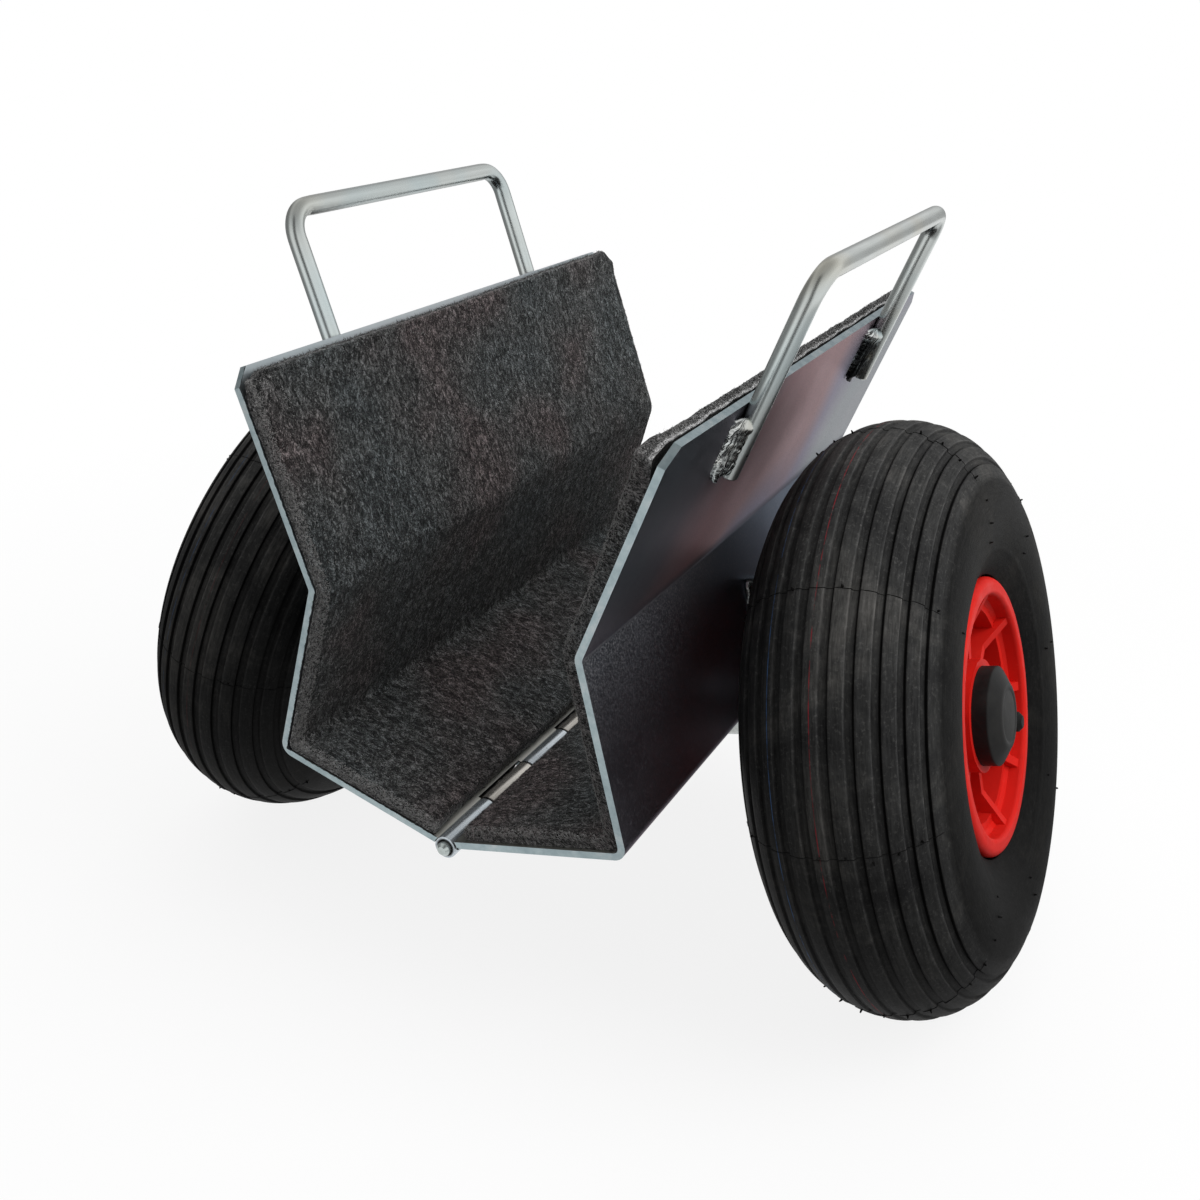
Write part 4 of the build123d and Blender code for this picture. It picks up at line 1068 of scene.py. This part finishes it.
NODE_FINISHES = {
    "stub_axle": "zinc_bar", "axle_gusset": "zinc_bar", "axle_collar": "zinc_bar", "axle_washers": "zinc_bar",
    "axle_circlip": "spring", "hub_bushes": "nylon", "rim": "red", "inner_tube": "tube",
    "valve_stem": "valve", "valve_cap": "valve", "handle": "zinc_bar", "tyre": "marks", "hub_cap": "cap",
    "felt_lining": "felt", "handle_welds": "weld", "axle_welds": "weld", "hinge_welds": "weld",
}


def dress(node, finish):
    """Gives a CAD node one finish in all its slots."""
    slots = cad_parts[node].data.materials
    slots.clear()
    slots.append(finish)


dress("hinge_pin", FINISHES["pin"])
for name, side, first, seed, share, stubs in SIDES:
    jaw, wheel = f"{name}_jaw", f"{name}_wheel"
    for node, finish in NODE_FINISHES.items():
        dress(f"{name}_{node}", FINISHES[finish])
    dress(f"{name}_side_plate", zinc_sheet(f"{name}_plated_sheet", side))
    dress(f"{name}_hinge_knuckles", FINISHES[f"{name}_knuckles"])
    lining, face, back = felt_lining(side, seed)
    pieces = (
        ("ribbed_tyre", tyre(side), f"{name}_tyre", wheel, "tyre", "tyre"),
        ("moulding_marks", moulding_marks(side, seed + 11, share, stubs), "marks", wheel, "tyre", None),
        ("bevelled_cap", hub_cap(side), "cap", wheel, "black_plastic", "hub_cap"),
        ("felt_pad", lining, "felt", jaw, "felt", "felt_lining"),
        ("felt_fibres", felt_fibres(face, back, seed + 5), "fibre", jaw, "felt", None),
        ("bar_handle", handle_bar(side), "bar", jaw, "zinc_bar", "handle"),
        ("eased_knuckles", knuckles(side, first), f"{name}_knuckles", jaw, "zinc_bar", "hinge_knuckles"),
        ("handle_beads", handle_beads(side, seed + 20), "weld", jaw, "weld_bead", "handle_welds"),
        ("axle_beads", axle_beads(side, seed + 60), "weld", jaw, "weld_bead", "axle_welds"),
        ("hinge_beads", hinge_beads(side, first, seed + 90), "weld", jaw, "weld_bead", "hinge_welds"),
    )
    for label, made, finish, body, slot, node in pieces:
        nodes = [f"{name}_{node}"] if node else []
        shown = piece(f"{name}_{label}", made, FINISHES[finish], body, slot, *nodes)


# ---------------------------------------------------------------- floor, light and camera

# Rays that see the white studio: those of the camera, and those that a reflection or glass sends on
SEEN = ("Camera", "Glossy", "Transmission")


def floor():
    """A wide pale floor. Seen directly or in a reflection it is part lit surface and part plain white, and all
    white further off, so it keeps a soft shadow on a white ground. In reflections the sky's dark sides go on
    across it, and it is darker close to the right wheel, a painted shadow that only reflections see."""
    reach = 12.0
    mesh = bpy.data.meshes.new("floor")
    corners = (-1, -1), (1, -1), (1, 1), (-1, 1)
    mesh.from_pydata([(x * reach, y * reach, 0) for x, y in corners], [], [(0, 1, 2, 3)])
    ground = bpy.data.objects.new("floor", mesh)
    bpy.context.scene.collection.objects.link(ground)
    f = Finish("pale_floor", Roughness=0.9, Specular_IOR_Level=0.1)
    speckle = f.noise(f.place(), 3.0, 2.0)
    lit = f.ramp(speckle, (0.3, 0.31), (0.7, 0.33))
    f.done(f.mix(f.ray("Camera"), lit, (0.9, 0.9, 0.9)))
    spot = f.axes(f.place())
    distance = f.node("VectorMath", {0: f.place()}, operation="LENGTH").outputs["Value"]
    level = [f.math("DIVIDE", spot[axis], distance) for axis in "XY"]
    low = f.spread(distance, 1.6, 2.2)
    band = f.times(dark_ways(f, *level, f.spread(distance, 0.5, 0.75), low), f.spread(distance, 0.2, 0.4))
    # painted shadow, seen only in reflections: darker close to the right wheel
    beside = f.times(f.spread(spot["X"], 0.2, 0.26, 0.0, 0.6), f.spread(distance, 0.5, 0.7, 1.0, 0.0))
    band = f.most(band, beside)
    strength = f.minus(1.0, f.times(f.ray("Glossy"), band))
    white = f.node("Emission", {"Color": (1, 1, 1, 1), "Strength": strength})
    share = f.times(f.ray(*SEEN), f.spread(distance, 0.25, 0.8, 0.86, 1.0))
    f.blended(share, f.shader, white, "Material Output")
    mesh.materials.append(f.material)


def dark_ways(f, x, y, back, low):
    """How dark a reflection finds the studio in a direction: a stripe at the front, the left side, the back left,
    and low down straight behind."""
    offset = f.plus(f.times(x, 0.955), f.times(y, 0.29))
    stripe = f.times(f.spread(f.size(offset), 0.16, 0.34, 0.88, 0.0), f.spread(y, -0.4, -0.1, 1.0, 0.0))
    left = f.spread(x, -0.82, -0.52, 0.75, 0.0)
    back_left = f.times(f.spread(x, -0.3, -0.05, 0.5, 0.0), f.spread(y, 0.5, 0.65), back)
    behind = f.times(f.spread(y, 0.86, 0.95, 0.0, 0.6), low)
    return f.most(stripe, left, back_left, behind)


def sky():
    """White where the camera sees it. Reflections find it white too, with a darker ceiling and soft dark sides, which
    give bare metal its streaks. Elsewhere it is a soft light from above."""
    world = bpy.data.worlds.new("studio")
    bpy.context.scene.world = world
    world.use_nodes = True
    f = Nodes(world.node_tree)
    even = f.tree.nodes["Background"]
    even.inputs["Color"].default_value = (1, 1, 1, 1)
    way = f.axes(f.node("TexCoord").outputs["Generated"])
    f.feed(even.inputs["Strength"], f.spread(way["Z"], 0.0, 0.8, 0.04, 0.50))
    sides = dark_ways(f, way["X"], way["Y"], 1.0, f.spread(way["Z"], 0.12, 0.3, 1.0, 0.0))
    dark = f.most(sides, f.spread(way["Z"], 0.35, 0.9, 0.0, 0.5))
    strength = f.minus(1.0, f.times(f.ray("Glossy"), dark))
    white = f.node("Background", {"Color": (1, 1, 1, 1), "Strength": strength})
    f.blended(f.ray(*SEEN), even, white, "World Output")


def lamp(name, place, aim, size, power):
    """A square soft lamp that points at a place and isn't seen in reflections."""
    light = bpy.data.lights.new(name, "AREA")
    light.shape, light.size, light.energy = "SQUARE", size, power
    made = bpy.data.objects.new(name, light)
    bpy.context.scene.collection.objects.link(made)
    made.matrix_world = looking(place, np.subtract(place, aim))
    made.visible_glossy = False


def looking(place, back, roll=0.0):
    """A matrix at a place whose Z axis points back, with X level and then turned by a roll."""
    back = np.asarray(back, float) / np.linalg.norm(back)
    right = np.cross((0, 0, 1), back) if abs(back[2]) < 0.999 else np.array([1.0, 0, 0])
    right = right / np.linalg.norm(right)
    up = np.cross(back, right)
    right, up = right * math.cos(roll) + up * math.sin(roll), up * math.cos(roll) - right * math.sin(roll)
    turned = np.eye(4)
    turned[:3, 0], turned[:3, 1], turned[:3, 2], turned[:3, 3] = right, up, back, place
    return Matrix(turned.tolist())


def camera():
    """The photograph's view."""
    place = (0.25505, -0.52915, 0.41788)
    azimuth, elevation, roll = math.radians(26.37), math.radians(24.68), math.radians(1.62)
    lens = bpy.data.cameras.new("camera")
    lens.sensor_width, lens.lens = 36.0, 40.37
    made = bpy.data.objects.new("camera", lens)
    bpy.context.scene.collection.objects.link(made)
    back = (math.sin(azimuth) * math.cos(elevation), -math.cos(azimuth) * math.cos(elevation), math.sin(elevation))
    made.matrix_world = looking(place, back, roll)
    lens.clip_start, lens.clip_end = 0.02, 50.0
    bpy.context.scene.camera = made


floor()
sky()
lamp("overhead", (-0.15, 0.1, 1.7), (0, 0, 0.1), 2.4, 16.0)
lamp("side", (1.05, -0.05, 1.1), (0, 0, 0.12), 1.0, 12.0)
camera()
bpy.context.scene.view_settings.view_transform = "Standard"
